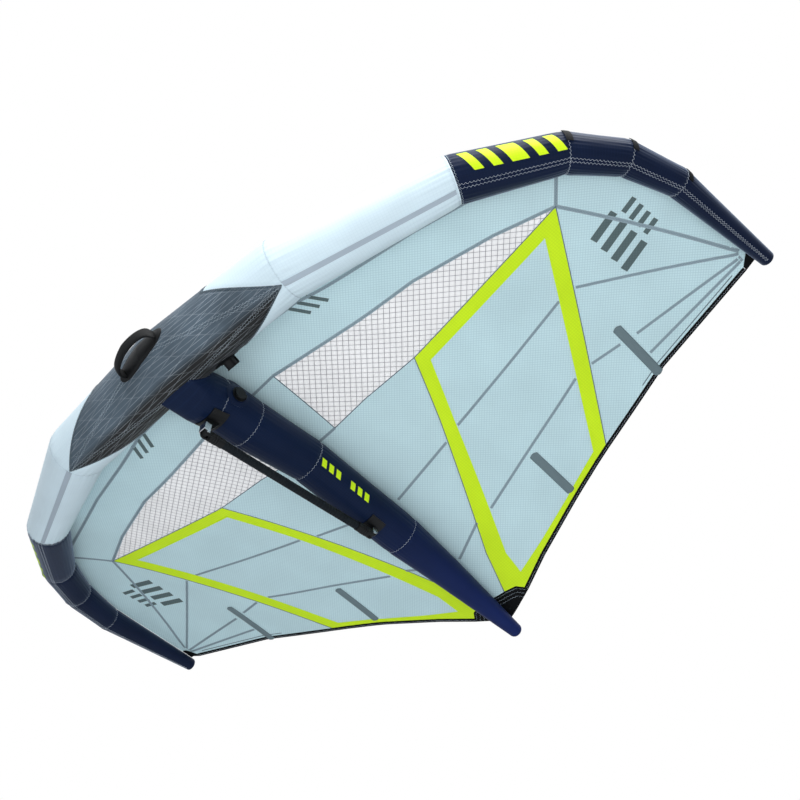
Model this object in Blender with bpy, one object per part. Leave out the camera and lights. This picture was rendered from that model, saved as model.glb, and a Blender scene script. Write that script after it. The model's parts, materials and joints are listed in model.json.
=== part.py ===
"""Inflatable hand wing for foil boards: tube leading edge, strut, cloth canopy and hard boom.

Metres, +Z up, +Y towards the trailing edge, +X along the span. The origin is the middle of the
boom, which is where the rider holds the wing. Points are first given from the strut's tail and
the empty named tail_datum carries them to the origin.
"""
import math

import bmesh
import bpy
from mathutils import Matrix, Vector

# Overall sizes
HALF_SPAN = 1.45
CHORD = 1.59
TIP_RISE = 0.408
LEADING_RADIUS = 0.111
STRUT_RADIUS = 0.085
CAMBER = 0.060

# Cloth, bladders and the gaps of a sewn joint
CLOTH = 0.001
SLEEVE_WALL = 0.002
BLADDER_WALL = 0.0008
BLADDER_NOSE = 0.012
BLADDER_NOSE_SHARE = 0.72
WEB_TOP_GAP = 0.0009
GAP = 0.0003
STRUT_JOINT_GAP = 0.0012
WEBBING_WIDTH = 0.012
BATTEN_WIDTH = 0.024
BATTEN_THICKNESS = 0.003
BATTEN_GAP = 0.0008
BATTEN_END_SHARE = 0.6
BATTEN_END_STEPS = 4
GRID_SPAN = 0.12
GRID_CHORD = 0.10
GRID_TOLERANCE = 0.000003
TIP_DOME = 0.011
TAIL_DOME = 0.020
CUT_OVERRUN = 0.010

# Leading edge stations: span, chord ahead of the tail, rise and radius, as shares
LEADING_SHARES = [
    (0.0, 1.0, 0.15, 1.0),
    (0.348, 0.983, 0.186, 0.883),
    (0.692, 0.865, 0.515, 0.676),
    (0.868, 0.740, 0.750, 0.568),
    (0.942, 0.642, 0.846, 0.505),
    (0.980, 0.526, 0.904, 0.423),
    (0.998, 0.252, 1.0, 0.225),
]
# Strut stations: chord ahead of the tail, rise and radius, as shares
STRUT_SHARES = [
    (0.937, 0.029, 0.988),
    (0.862, 0.113, 1.0),
    (0.797, 0.123, 0.976),
    (0.637, 0.203, 0.871),
    (0.363, 0.125, 0.847),
    (0.218, 0.078, 0.635),
    (0.0, -0.022, 0.294),
]
# Trailing edge seen from above, and its height, as shares
TRAILING_SHARES = [
    (0.0, 0.013), (0.085, 0.040), (0.176, 0.076), (0.310, 0.119), (0.428, 0.157),
    (0.466, 0.168), (0.590, 0.199), (0.683, 0.223), (0.949, 0.257), (0.986, 0.258),
]
TRAILING_RISE_SHARES = [
    (0.0, 0.061), (0.331, 0.434), (0.466, 0.542), (0.666, 0.735), (0.949, 1.000), (0.984, 1.062),
]
# Corners of the canopy's panels seen from above, as shares of half span and chord
PLAN_SHARES = {
    "seam_0": (0.0, 0.915), "seam_1": (0.268, 0.897), "seam_2": (0.388, 0.867), "seam_3": (0.544, 0.831),
    "centre_front": (0.0, 0.805), "centre_rear": (0.0, 0.079),
    "window_1": (0.088, 0.808), "window_2": (0.290, 0.780), "window_3": (0.462, 0.755),
    "window_4": (0.641, 0.704), "window_5": (0.179, 0.632), "window_6": (0.075, 0.627),
    "apex": (0.769, 0.653), "frame_corner": (0.330, 0.629), "frame_mid": (0.252, 0.481),
    "frame_low": (0.080, 0.172), "frame_heel": (0.040, 0.074), "frame_side": (0.603, 0.389),
    "inner_apex": (0.709, 0.621), "inner_corner": (0.348, 0.601), "inner_mid": (0.273, 0.460),
    "inner_low": (0.112, 0.141), "inner_heel": (0.103, 0.082), "inner_sole": (0.203, 0.108),
    "inner_foot": (0.310, 0.140), "inner_toe": (0.436, 0.184), "inner_side": (0.522, 0.322),
    "patch_bend": (0.070, 0.066), "tip_corner": (0.949, 0.267),
}
BATTEN_SHARES = {"inner": ((0.333, 0.271), (0.331, 0.150)), "outer": ((0.669, 0.359), (0.666, 0.221))}

# Round detail: number of sides and where the cloth meets the tubes
TUBE_SIDES = 24
BLADDER_SIDES = 10
ROUND_SIDES = 16
HOLE_SIDES = 24
ARC_STEPS = 8
SHARP_DEGREES = 35
DOME_LIFT_DEGREES = (30, 58, 80)
MITRE_LEAST_SHARE = 0.2
WARP_LEAST = 0.00002
ATTACH_DEGREES = 50
NOSE_END_STATION = 2.75
TIP_PATCH_STATION = 5.85
TIP_END_STATION = 5.975
STRUT_SHOULDER_STATION = 0.25
STRUT_SEAT_SHARE = 0.9
BLADDER_NOSE_STATION = 0.35
WEB_STATIONS = (0.27, 0.6, 1.0, 1.5, 2.0, 2.3, 2.6)

# Dark reinforced centre: a lens whose points lie on the lower front of the tube
LENS_POINT_DEGREES = -92
LENS_REACH_SHARE = 0.998
LENS_FRONT_SLOPE_SHARE = 0.47
LENS_REAR_SLOPE_SHARE = 0.64
LENS_LEAST_SHARE = 0.53

# Front handle
HANDLE_DEGREES = 210
HANDLE_LENGTH = 0.205
HANDLE_WIDTH = 0.074
HANDLE_PLATE = 0.005
HANDLE_SEAT = 0.0006
HANDLE_SIDES = 24
# Rings of the base plate: how far out each lies, and how thick the plate is there
HANDLE_RING_SHARES = ((0.12, 1.0), (0.45, 1.0), (0.8, 0.95), (1.0, 0.44))
ARCH_LENGTH = 0.150
ARCH_HEIGHT = 0.066
ARCH_BREADTH = 0.030
ARCH_DEPTH = 0.013
ARCH_STEPS = 18
ARCH_SIDES = 12
ARCH_CURVE_SHARE = 0.8
ARCH_SQUARE_SHARE = 0.7
ARCH_SWELL_SHARE = 0.5
ARCH_SWELL_POWER = 6
ARCH_LEAST_SHARE = 0.05
ARCH_END_SHARES = (0.1, 0.5, 1)

# Boom
BOOM_LENGTH = 0.697
BOOM_PLACE_SHARE = 0.665723
BOOM_FIT_ROUNDS = 4
BOOM_TUBE_RADIUS = 0.0115
BOOM_TUBE_WALL = 0.0015
BOOM_GRIP_RADIUS = 0.0138
GRIP_END_GAP = 0.0005
SOCKET_RADIUS = 0.0160
SOCKET_LENGTH = 0.046
SOCKET_INSERT = 0.030
SOCKET_START = 0.020
RIB_RADIUS = 0.0172
RIB_LENGTH = 0.004
RIB_COUNT = 3
FORK_HALF_WIDTH = 0.0125
FORK_RADIUS = 0.011
EYE_HALF_WIDTH = 0.0060
EYE_RADIUS = 0.009
SLOT_HALF_WIDTH = 0.0064
SLOT_BACK_GAP = 0.0015
PIN_RADIUS = 0.003
PIN_CLEARANCE = 0.00035
PIN_HEAD_RADIUS = 0.0055
PIN_HEAD_LENGTH = 0.002

# Saddles that carry the boom on the strut
SADDLE_LENGTH = 0.060
SADDLE_HALF_DEGREES = 32
SADDLE_STEPS = 6
SADDLE_SEAT = 0.0006
SADDLE_THICKNESS = 0.004
POST_FOOT_DEPTH = 0.046
# How far each pin hangs below the strut, so that a hand fits between
FRONT_PIN_DEPTH = 0.069323
REAR_PIN_DEPTH = 0.031648

# Lock levers: steel channels that turn on the cross pins
LATCH_HALF_WIDTH = 0.0150
LATCH_WALL = 0.002
LATCH_REACH = 0.015
LATCH_BACK = 0.0065
LATCH_TOP_FRONT = 0.034
LATCH_TOP_REAR = 0.021
LATCH_EYE_RADIUS = 0.0065

# Valves
VALVE_FLANGE_RADIUS = 0.024
VALVE_FLANGE_THICKNESS = 0.002
VALVE_FLANGE_DEPTH = 0.0125
VALVE_NECK_RADIUS = 0.0165
VALVE_COLLAR_RADIUS = 0.0185
VALVE_RIM_RADIUS = 0.0250
VALVE_RIM_THICKNESS = 0.003
VALVE_RIM_LIFT = 0.0006
VALVE_BORE_RADIUS = 0.0125
VALVE_HOLE_CLEARANCE = 0.0004
CORE_CLEARANCE = 0.0006
CORE_LENGTH = 0.010
CORE_BAR_WIDTH = 0.004
CORE_BAR_HEIGHT = 0.0025
CORE_BAR_GAP = 0.0016
CORE_BAR_TOP_SHARE = 0.8
CAP_RADIUS = 0.0205
CAP_THICKNESS = 0.0035
CAP_PLUG_RADIUS = 0.0114
CAP_PLUG_LENGTH = 0.0025
CAP_GAP = 0.0004
KNUCKLE_RADIUS = 0.0022
KNUCKLE_HALF_LENGTH = 0.005
KNUCKLE_BRIDGE_SHARE = 0.6
EAR_THICKNESS = 0.003
EAR_OVERLAP = 0.0016
LEADING_VALVE_STATION = 0.337
LEADING_VALVE_DEGREES = -21
LEADING_VALVE_STAND = 0.024
STRUT_VALVE_STATION = 1.0
STRUT_VALVE_DEGREES = -9
STRUT_VALVE_STAND = 0.008
FRAME_STEP_STATION = 0.05

COLOURS = {
    "dark_ripstop": ((0.045, 0.052, 0.062), 0.55, 0.0),
    "white_cloth": ((0.80, 0.84, 0.87), 0.60, 0.0),
    "navy_cloth": ((0.012, 0.024, 0.075), 0.50, 0.0),
    "bladder_film": ((0.75, 0.75, 0.72), 0.35, 0.0),
    "canopy_cloth": ((0.52, 0.64, 0.69), 0.60, 0.0),
    "window_film": ((0.74, 0.75, 0.77), 0.30, 0.0),
    "lime_cloth": ((0.50, 0.78, 0.02), 0.55, 0.0),
    "black_webbing": ((0.010, 0.010, 0.012), 0.70, 0.0),
    "batten_cloth": ((0.16, 0.22, 0.26), 0.60, 0.0),
    "moulded_black": ((0.012, 0.013, 0.015), 0.45, 0.0),
    "grip_foam": ((0.015, 0.018, 0.020), 0.80, 0.0),
    "boom_alloy": ((0.35, 0.36, 0.38), 0.35, 1.0),
    "steel": ((0.75, 0.76, 0.78), 0.25, 1.0),
}


def clear_scene():
    for item in list(bpy.data.objects):
        bpy.data.objects.remove(item, do_unlink=True)


def finish(name):
    """The finish of that name, made when it is first asked for."""
    made = bpy.data.materials.get(name)
    if made:
        return made
    colour, roughness, metallic = COLOURS[name]
    made = bpy.data.materials.new(name)
    made.use_nodes = True
    shader = made.node_tree.nodes["Principled BSDF"]
    shader.inputs["Base Color"].default_value = (*colour, 1.0)
    shader.inputs["Roughness"].default_value = roughness
    shader.inputs["Metallic"].default_value = metallic
    return made


def make_object(name, mesh, material, parent):
    made = bpy.data.objects.new(name, mesh)
    bpy.context.scene.collection.objects.link(made)
    made.parent = parent
    if material:
        mesh.materials.append(finish(material))
    return made


def mesh_object(name, work, material, parent):
    """Close a bmesh with its faces outwards and make it an object."""
    bmesh.ops.recalc_face_normals(work, faces=work.faces)
    mesh = bpy.data.meshes.new(name)
    work.to_mesh(mesh)
    work.free()
    if material:
        mesh.shade_smooth()
        mesh.set_sharp_from_angle(angle=math.radians(SHARP_DEGREES))
    return make_object(name, mesh, material, parent)


def guide(made):
    """A shape that only cuts or joins another one."""
    made.hide_render = True
    made.display_type = "WIRE"
    return made


def combine(target, tool, operation):
    change = target.modifiers.new(operation.lower(), "BOOLEAN")
    change.operation = operation
    change.solver = "EXACT"
    change.object = guide(tool)


def axis_empty(name, parent, location, rotation):
    made = bpy.data.objects.new(name, None)
    bpy.context.scene.collection.objects.link(made)
    made.parent = parent
    made.matrix_local = Matrix.Translation(location) @ rotation.to_4x4()
    return made


def add_wall(work, corners, middle):
    """A quad, or two triangles where it is warped.

    They meet on the diagonal that stands further out, so both skins of a wall bend alike.
    """
    first, second, third, fourth = corners
    near = third.co - first.co
    far = fourth.co - second.co
    normal = near.cross(far).normalized()
    if abs((second.co - first.co).dot(normal)) < WARP_LEAST:
        work.faces.new(corners)
    elif ((first.co + third.co) / 2 - middle).length > ((second.co + fourth.co) / 2 - middle).length:
        work.faces.new((first, second, third))
        work.faces.new((first, third, fourth))
    else:
        work.faces.new((first, second, fourth))
        work.faces.new((second, third, fourth))


def loft(name, loops, material, parent, cyclic=False):
    """Skin a list of equal loops; open ends are capped, a cyclic list closes on itself."""
    work = bmesh.new()
    rows = [[work.verts.new(point) for point in loop] for loop in loops]
    pairs = list(zip(rows, rows[1:]))
    if cyclic:
        pairs.append((rows[0], rows[-1]))
    for first, second in pairs:
        both = first + second
        middle = sum((vert.co for vert in both), Vector()) / len(both)
        for index in range(len(first)):
            after = (index + 1) % len(first)
            add_wall(work, (first[index], first[after], second[after], second[index]), middle)
    if not cyclic:
        work.faces.new(rows[0])
        work.faces.new(rows[-1])
    return mesh_object(name, work, material, parent)


def turned(name, profile, material, parent, sides=ROUND_SIDES):
    """Turn a profile of (radius, height) about local Z; it starts and ends off the axis."""
    loops = []
    for radius, height in profile:
        loops.append([
            Vector((radius * math.cos(turn), radius * math.sin(turn), height))
            for turn in (math.tau * step / sides for step in range(sides))
        ])
    return loft(name, loops, material, parent, cyclic=True)


def turned_solid(name, profile, material, parent, sides=ROUND_SIDES):
    """Turn an open profile about local Z and cap its two flat ends."""
    loops = []
    for radius, height in profile:
        loops.append([
            Vector((radius * math.cos(turn), radius * math.sin(turn), height))
            for turn in (math.tau * step / sides for step in range(sides))
        ])
    return loft(name, loops, material, parent)


def extruded(name, outline, half_width, material, parent):
    """Extrude an outline of (y, z) points evenly to both sides of X."""
    loops = [[Vector((across, y, z)) for y, z in outline] for across in (-half_width, half_width)]
    return loft(name, loops, material, parent)


def arc(centre, radius, start, end, steps):
    """Points of a flat arc, in degrees from the first axis to the second."""
    points = []
    for step in range(steps + 1):
        turn = math.radians(start + (end - start) * step / steps)
        points.append((centre[0] + radius * math.cos(turn), centre[1] + radius * math.sin(turn)))
    return points


def mirrored(points, side):
    return [Vector((point.x * side, point.y, point.z)) for point in points]


def table_value(table, where):
    """Straight-line reading of a table of (place, value)."""
    if where <= table[0][0]:
        return table[0][1]
    for (start, low), (end, high) in zip(table, table[1:]):
        if where <= end:
            return low + (high - low) * (where - start) / (end - start)
    return table[-1][1]


class Tube:
    """A soft tube: straight runs between round stations, mitred where they meet."""

    def __init__(self, centres, radii, across_of):
        self.centres = centres
        self.radii = radii
        runs = [(after - before).normalized() for before, after in zip(centres, centres[1:])]
        self.along = [runs[0]]
        self.along += [(before + after).normalized() for before, after in zip(runs, runs[1:])]
        self.along.append(runs[-1])
        self.across = [across_of(direction) for direction in self.along]
        crossed = [direction.cross(side) for direction, side in zip(self.along, self.across)]
        self.up = [ray if ray.z > 0 else -ray for ray in crossed]

    def station_point(self, index, degrees, inset, shift=0.0):
        turn = math.radians(degrees)
        ray = math.cos(turn) * self.across[index] + math.sin(turn) * self.up[index]
        return self.centres[index] + ray * (self.radii[index] - inset) + self.along[index] * shift

    def point(self, station, degrees, inset, shift=0.0):
        """A point of the skin, station being a number such as 2.75 between stations 2 and 3."""
        index = min(int(station), len(self.centres) - 2)
        near = self.station_point(index, degrees, inset)
        far = self.station_point(index + 1, degrees, inset)
        return near.lerp(far, station - index) + (far - near).normalized() * shift

    def loop(self, station, inset, shift, sides):
        return [self.point(station, degrees, inset, shift) for degrees in round_degrees(sides)]

    def dome(self, inset, length, sides):
        """Loops that close the far end of the tube in a low dome."""
        loops = []
        last = len(self.centres) - 1
        for lift in DOME_LIFT_DEGREES:
            share = math.radians(lift)
            radius = (self.radii[last] - inset) * math.cos(share)
            reach = (length - inset) * math.sin(share)
            loops.append([
                self.station_point(last, degrees, self.radii[last] - radius, reach)
                for degrees in round_degrees(sides)
            ])
        return loops


def round_degrees(sides):
    return [ATTACH_DEGREES + 360 * step / sides for step in range(sides)]


def make_leading_tube():
    centres = [Vector((x * HALF_SPAN, -y * CHORD, z * TIP_RISE)) for x, y, z, _ in LEADING_SHARES]
    radii = [share * LEADING_RADIUS for _, _, _, share in LEADING_SHARES]
    tube = Tube(centres, radii, lambda along: Vector((-along.y, along.x, 0)).normalized())
    tube.along[0] = Vector((1, 0, 0))
    tube.across[0] = Vector((0, 1, 0))
    tube.up[0] = Vector((0, 0, 1))
    return tube


def make_strut_tube():
    centres = [Vector((0, -y * CHORD, z * TIP_RISE)) for y, z, _ in STRUT_SHARES]
    radii = [share * STRUT_RADIUS for _, _, share in STRUT_SHARES]
    return Tube(centres, radii, lambda along: Vector((1, 0, 0)))


LEADING = make_leading_tube()
STRUT = make_strut_tube()
SKIN_INSCRIBED_SHARE = math.cos(math.pi / TUBE_SIDES)


def bladder_inset(radius):
    """How far a bladder's corners lie inside a sleeve's outer radius."""
    return radius - ((radius - SLEEVE_WALL) * SKIN_INSCRIBED_SHARE - GAP)


def lens_station(degrees):
    """Where the dark centre ends along the tube, for an angle round it."""
    away = (degrees - LENS_POINT_DEGREES + 180) % 360 - 180
    slope = LENS_REAR_SLOPE_SHARE if away > 0 else LENS_FRONT_SLOPE_SHARE
    share = LENS_REACH_SHARE - slope * abs(away) / 90
    return max(share, LENS_LEAST_SHARE)


def lens_loop(side, inset, shift):
    points = [LEADING.point(lens_station(turn), turn, inset, shift) for turn in round_degrees(TUBE_SIDES)]
    return mirrored(points, side)


def leading_loop(side, station, inset, shift=0.0):
    return mirrored(LEADING.loop(station, inset, shift, TUBE_SIDES), side)


def build_leading_sleeves(datum):
    half = GAP / 2
    centre = [lens_loop(-1, 0, -half), leading_loop(1, 0, 0), lens_loop(1, 0, -half)]
    centre += [lens_loop(1, SLEEVE_WALL, -half), leading_loop(1, 0, SLEEVE_WALL)]
    centre.append(lens_loop(-1, SLEEVE_WALL, -half))
    centre_sleeve = loft("leading_edge_centre", centre, "dark_ripstop", datum, cyclic=True)
    for side, word in ((1, "right"), (-1, "left")):
        white = [lens_loop(side, 0, half), leading_loop(side, 1, 0), leading_loop(side, 2, 0, -half)]
        white += [leading_loop(side, 2, SLEEVE_WALL, -half), leading_loop(side, 1, SLEEVE_WALL)]
        white.append(lens_loop(side, SLEEVE_WALL, half))
        loft(f"leading_edge_white_{word}", white, "white_cloth", datum, cyclic=True)
        build_tip_sleeves(datum, side, word)
    return centre_sleeve


def build_tip_sleeves(datum, side, word):
    half = GAP / 2
    for number in (1, 2, 3):
        start = number + 1
        loops = [leading_loop(side, start, 0, half), leading_loop(side, start + 1, 0, -half)]
        loops.append(leading_loop(side, start + 1, SLEEVE_WALL, -half))
        loops.append(leading_loop(side, start, SLEEVE_WALL, half))
        loft(f"leading_edge_tip_{number}_{word}", loops, "navy_cloth", datum, cyclic=True)
    inner = [mirrored(loop, side) for loop in LEADING.dome(SLEEVE_WALL, TIP_DOME, TUBE_SIDES)]
    outer = [mirrored(loop, side) for loop in LEADING.dome(0, TIP_DOME, TUBE_SIDES)]
    loops = inner[::-1] + [leading_loop(side, 6, SLEEVE_WALL), leading_loop(side, 5, SLEEVE_WALL, half)]
    loops += [leading_loop(side, 5, 0, half), leading_loop(side, 6, 0)] + outer
    loft(f"leading_edge_tip_4_{word}", loops, "navy_cloth", datum)


def leading_bladder_loops(wall):
    """Loops of the bladder's outer skin, or of its inner one, from left tip to right tip."""
    halves = []
    last = len(LEADING.centres) - 1
    for station in range(last + 1):
        inset = bladder_inset(LEADING.radii[station]) + wall
        halves.append(LEADING.loop(station, inset, 0, BLADDER_SIDES))
    end_inset = bladder_inset(LEADING.radii[last]) + wall
    halves += LEADING.dome(end_inset, TIP_DOME, BLADDER_SIDES)
    left = [mirrored(loop, -1) for loop in halves[:0:-1]]
    return left + halves


def build_leading_bladder(datum):
    bladder = loft("leading_edge_bladder", leading_bladder_loops(0), "bladder_film", datum)
    space = loft("leading_edge_air", leading_bladder_loops(BLADDER_WALL), None, datum)
    combine(bladder, space, "DIFFERENCE")
    return bladder


def strut_front_loop(inset):
    """The end of the strut that is cut to lie on the leading edge tube."""
    points = []
    for degrees in round_degrees(TUBE_SIDES):
        point = STRUT.station_point(0, degrees, inset)
        share = abs(point.x) / LEADING.centres[1].x
        centre = LEADING.centres[0].lerp(LEADING.centres[1], share)
        radius = LEADING.radii[0] + (LEADING.radii[1] - LEADING.radii[0]) * share
        lowest = centre.z - radius * STRUT_SEAT_SHARE + inset
        height = max(point.z, lowest)
        reach = math.sqrt((radius + STRUT_JOINT_GAP) ** 2 - (height - centre.z) ** 2)
        points.append(Vector((point.x, centre.y + reach, height)))
    return points


def strut_loop(station, inset, shift=0.0):
    return STRUT.loop(station, inset, shift, TUBE_SIDES)


def build_strut_sleeves(datum):
    half = GAP / 2
    wall = SLEEVE_WALL
    shoulder = STRUT_SHOULDER_STATION
    front = [strut_front_loop(0), strut_loop(shoulder, 0), strut_loop(1, 0), strut_loop(2, 0, -half)]
    front += [strut_loop(2, wall, -half), strut_loop(1, wall)]
    front += [strut_loop(shoulder, wall), strut_front_loop(wall)]
    sleeve = loft("strut_front", front, "navy_cloth", datum, cyclic=True)
    for name, start in (("strut_mid_front", 2), ("strut_mid_rear", 3)):
        loops = [strut_loop(start, 0, half), strut_loop(start + 1, 0, -half)]
        loops += [strut_loop(start + 1, wall, -half), strut_loop(start, wall, half)]
        loft(name, loops, "navy_cloth", datum, cyclic=True)
    inner = STRUT.dome(wall, TAIL_DOME, TUBE_SIDES)[::-1] + [strut_loop(6, wall), strut_loop(5, wall)]
    inner.append(strut_loop(4, wall, half))
    outer = [strut_loop(4, 0, half), strut_loop(5, 0), strut_loop(6, 0)]
    outer += STRUT.dome(0, TAIL_DOME, TUBE_SIDES)
    loft("strut_tail", inner + outer, "navy_cloth", datum)
    return sleeve


def strut_bladder_loops(wall):
    loops = []
    for station in (BLADDER_NOSE_STATION, 1, 2, 3, 4, 5, 6):
        radius = STRUT.radii[min(int(station), 6)]
        loops.append(STRUT.loop(station, bladder_inset(radius) + wall, 0, BLADDER_SIDES))
    nose = loops[0]
    middle = sum(nose, Vector()) / len(nose)
    ahead = STRUT.along[0] * -(BLADDER_NOSE - wall)
    crown = [middle + (point - middle) * BLADDER_NOSE_SHARE + ahead for point in nose]
    inset = bladder_inset(STRUT.radii[6]) + wall
    return [crown] + loops + STRUT.dome(inset, TAIL_DOME, BLADDER_SIDES)


def build_strut_bladder(datum):
    bladder = loft("strut_bladder", strut_bladder_loops(0), "bladder_film", datum)
    space = loft("strut_air", strut_bladder_loops(BLADDER_WALL), None, datum)
    combine(bladder, space, "DIFFERENCE")
    return bladder


def cloth_edge(station):
    """Where the canopy's upper face meets the leading edge tube."""
    index = min(int(station), len(LEADING.centres) - 2)
    inward = LEADING.across[index].lerp(LEADING.across[index + 1], station - index)
    lean = math.radians(ATTACH_DEGREES)
    clearance = (CLOTH * math.sin(lean) + GAP) / math.cos(lean)
    return LEADING.point(station, ATTACH_DEGREES, 0) + inward * clearance


FRONT_EDGE = [cloth_edge(station) for station in range(len(LEADING_SHARES))]
FRONT_PLAN = [(point.x, point.y) for point in FRONT_EDGE]
FRONT_RISE = [(point.x, point.z) for point in FRONT_EDGE]
TRAILING_PLAN = [(x * HALF_SPAN, -y * CHORD) for x, y in TRAILING_SHARES]
TRAILING_RISE = [(x * HALF_SPAN, z * TIP_RISE) for x, z in TRAILING_RISE_SHARES]


def local_chord(x):
    return max(table_value(TRAILING_PLAN, x) - table_value(FRONT_PLAN, x), CLOTH)


def canopy_height(x, y):
    """Height of the canopy's upper face: straight between its edges, plus its camber."""
    x = abs(x)
    chord = local_chord(x)
    share = min(max((y - table_value(FRONT_PLAN, x)) / chord, 0), 1)
    flat = (1 - share) * table_value(FRONT_RISE, x) + share * table_value(TRAILING_RISE, x)
    return flat + CAMBER * chord / local_chord(0) * 4 * share * (1 - share)


def plan_points():
    """Every corner of the canopy's panels, seen from above."""
    points = {name: Vector((x * HALF_SPAN, -y * CHORD)) for name, (x, y) in PLAN_SHARES.items()}
    for number, edge in enumerate(FRONT_EDGE):
        points[f"lead_{number}"] = edge.xy
    points["nose_end"] = cloth_edge(NOSE_END_STATION).xy
    points["tip_start"] = cloth_edge(TIP_PATCH_STATION).xy
    points["tip_end"] = cloth_edge(TIP_END_STATION).xy
    for number, (x, y) in enumerate(TRAILING_PLAN):
        before = TRAILING_PLAN[max(number - 1, 0)]
        after = TRAILING_PLAN[min(number + 1, len(TRAILING_PLAN) - 1)]
        slope = (after[1] - before[1]) / (after[0] - before[0])
        points[f"trail_{number}"] = Vector((x, y))
        points[f"hem_{number}"] = Vector((x, y - WEBBING_WIDTH * math.hypot(1, slope)))
    return points


PLAN = plan_points()
PANELS = {
    "nose_strip": ("canopy_cloth", "lead_0 lead_1 lead_2 nose_end seam_3 seam_2 seam_1 seam_0"),
    "front_panel": (
        "canopy_cloth",
        "seam_0 seam_1 seam_2 seam_3 nose_end lead_3 apex window_4 window_3 window_2 window_1 centre_front",
    ),
    "window": ("window_film", "window_1 window_2 window_3 window_4 apex frame_corner window_5 window_6"),
    "strut_panel": (
        "canopy_cloth",
        "centre_front window_1 window_6 window_5 frame_corner frame_mid frame_low frame_heel centre_rear",
    ),
    "inner_panel": (
        "canopy_cloth",
        "inner_apex inner_corner inner_mid inner_low inner_heel inner_sole inner_foot inner_toe inner_side",
    ),
    "tip_panel": (
        "canopy_cloth",
        "apex lead_3 lead_4 lead_5 tip_start tip_corner hem_8 hem_7 hem_6 hem_5 frame_side",
    ),
    "rear_patch": ("black_webbing", "centre_rear frame_heel patch_bend hem_1 trail_1 trail_0"),
    "tip_patch": ("black_webbing", "tip_start tip_end trail_8 hem_8 tip_corner"),
}
FRAME_OUTER = (
    "apex frame_corner frame_mid frame_low frame_heel patch_bend hem_1 "
    "hem_2 hem_3 hem_4 hem_5 frame_side"
)
FRAME_INNER = (
    "inner_apex inner_corner inner_mid inner_low inner_heel inner_heel inner_heel inner_sole inner_foot "
    "inner_toe inner_toe inner_side"
)


def named_loop(words):
    return [PLAN[word] for word in words.split()]


def inset_loop(loop, distance):
    """Move a closed outline inwards by a distance, or outwards by a negative one."""
    count = len(loop)
    area = sum(loop[i].cross(loop[(i + 1) % count]) for i in range(count))
    turn = 1 if area > 0 else -1
    moved = []
    for index, point in enumerate(loop):
        before = (point - loop[index - 1]).normalized()
        after = (loop[(index + 1) % count] - point).normalized()
        inward_before = Vector((-before.y, before.x)) * turn
        inward_after = Vector((-after.y, after.x)) * turn
        bisector = (inward_before + inward_after).normalized()
        moved.append(point + bisector * distance / max(bisector.dot(inward_before), MITRE_LEAST_SHARE))
    return moved


def cloth_solid(name, outlines, side, material, datum, drop=0.0, thickness=CLOTH):
    """Lay flat outlines on the canopy's curved surface and give them a thickness."""
    work = bmesh.new()
    known = {}
    for outline in outlines:
        corners = []
        for point in outline:
            key = (point.x, point.y)
            if key not in known:
                known[key] = work.verts.new((point.x, point.y, 0))
            if known[key] not in corners:
                corners.append(known[key])
        work.faces.new(corners)
    for normal, pitch, reach in (((1, 0, 0), GRID_SPAN, HALF_SPAN), ((0, 1, 0), GRID_CHORD, CHORD)):
        for step in range(1, int(reach / pitch) + 1):
            place = Vector(normal) * pitch * step * (1 if normal[0] else -1)
            everything = work.verts[:] + work.edges[:] + work.faces[:]
            bmesh.ops.bisect_plane(
                work, geom=everything, dist=GRID_TOLERANCE, plane_co=place, plane_no=normal
            )
    bmesh.ops.triangulate(work, faces=work.faces)
    for vert in work.verts:
        vert.co.z = canopy_height(vert.co.x, vert.co.y) - drop
        vert.co.x *= side
    lower = bmesh.ops.extrude_face_region(work, geom=work.faces[:])
    for item in lower["geom"]:
        if isinstance(item, bmesh.types.BMVert):
            item.co.z -= thickness
    return mesh_object(name, work, material, datum)


def build_canopy(datum):
    half = GAP / 2
    for side, word in ((1, "right"), (-1, "left")):
        for name, (material, words) in PANELS.items():
            outline = inset_loop(named_loop(words), half)
            cloth_solid(f"{name}_{word}", [outline], side, material, datum)
        build_load_frame(datum, side, word)
        build_webbing(datum, side, word)
        for place, ends in BATTEN_SHARES.items():
            outline = batten_outline(*ends)
            drop = CLOTH + BATTEN_GAP
            name = f"batten_{place}_{word}"
            cloth_solid(name, [outline], side, "batten_cloth", datum, drop, BATTEN_THICKNESS)


def build_load_frame(datum, side, word):
    """The coloured frame round the inner panel is one ring of cloth."""
    outer = inset_loop(named_loop(FRAME_OUTER), GAP / 2)
    inner_words = FRAME_INNER.split()
    single = list(dict.fromkeys(inner_words))
    moved = dict(zip(single, inset_loop([PLAN[key] for key in single], -GAP / 2)))
    inner = [moved[key] for key in inner_words]
    pieces = []
    for index in range(len(outer)):
        after = (index + 1) % len(outer)
        pieces.append([outer[index], outer[after], inner[after], inner[index]])
    cloth_solid(f"load_frame_{word}", pieces, side, "lime_cloth", datum)


def build_webbing(datum, side, word):
    """Webbing sewn along the trailing edge, from the rear patch to the tip patch."""
    numbers = range(1, 9)
    edge = [PLAN[f"trail_{number}"] for number in numbers]
    hem = [PLAN[f"hem_{number}"] for number in numbers]
    outline = inset_loop(edge + hem[::-1], GAP / 2)
    count = len(edge)
    pieces = []
    for index in range(count - 1):
        pieces.append([outline[index], outline[index + 1], outline[-2 - index], outline[-1 - index]])
    cloth_solid(f"trailing_webbing_{word}", pieces, side, "black_webbing", datum)


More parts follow.
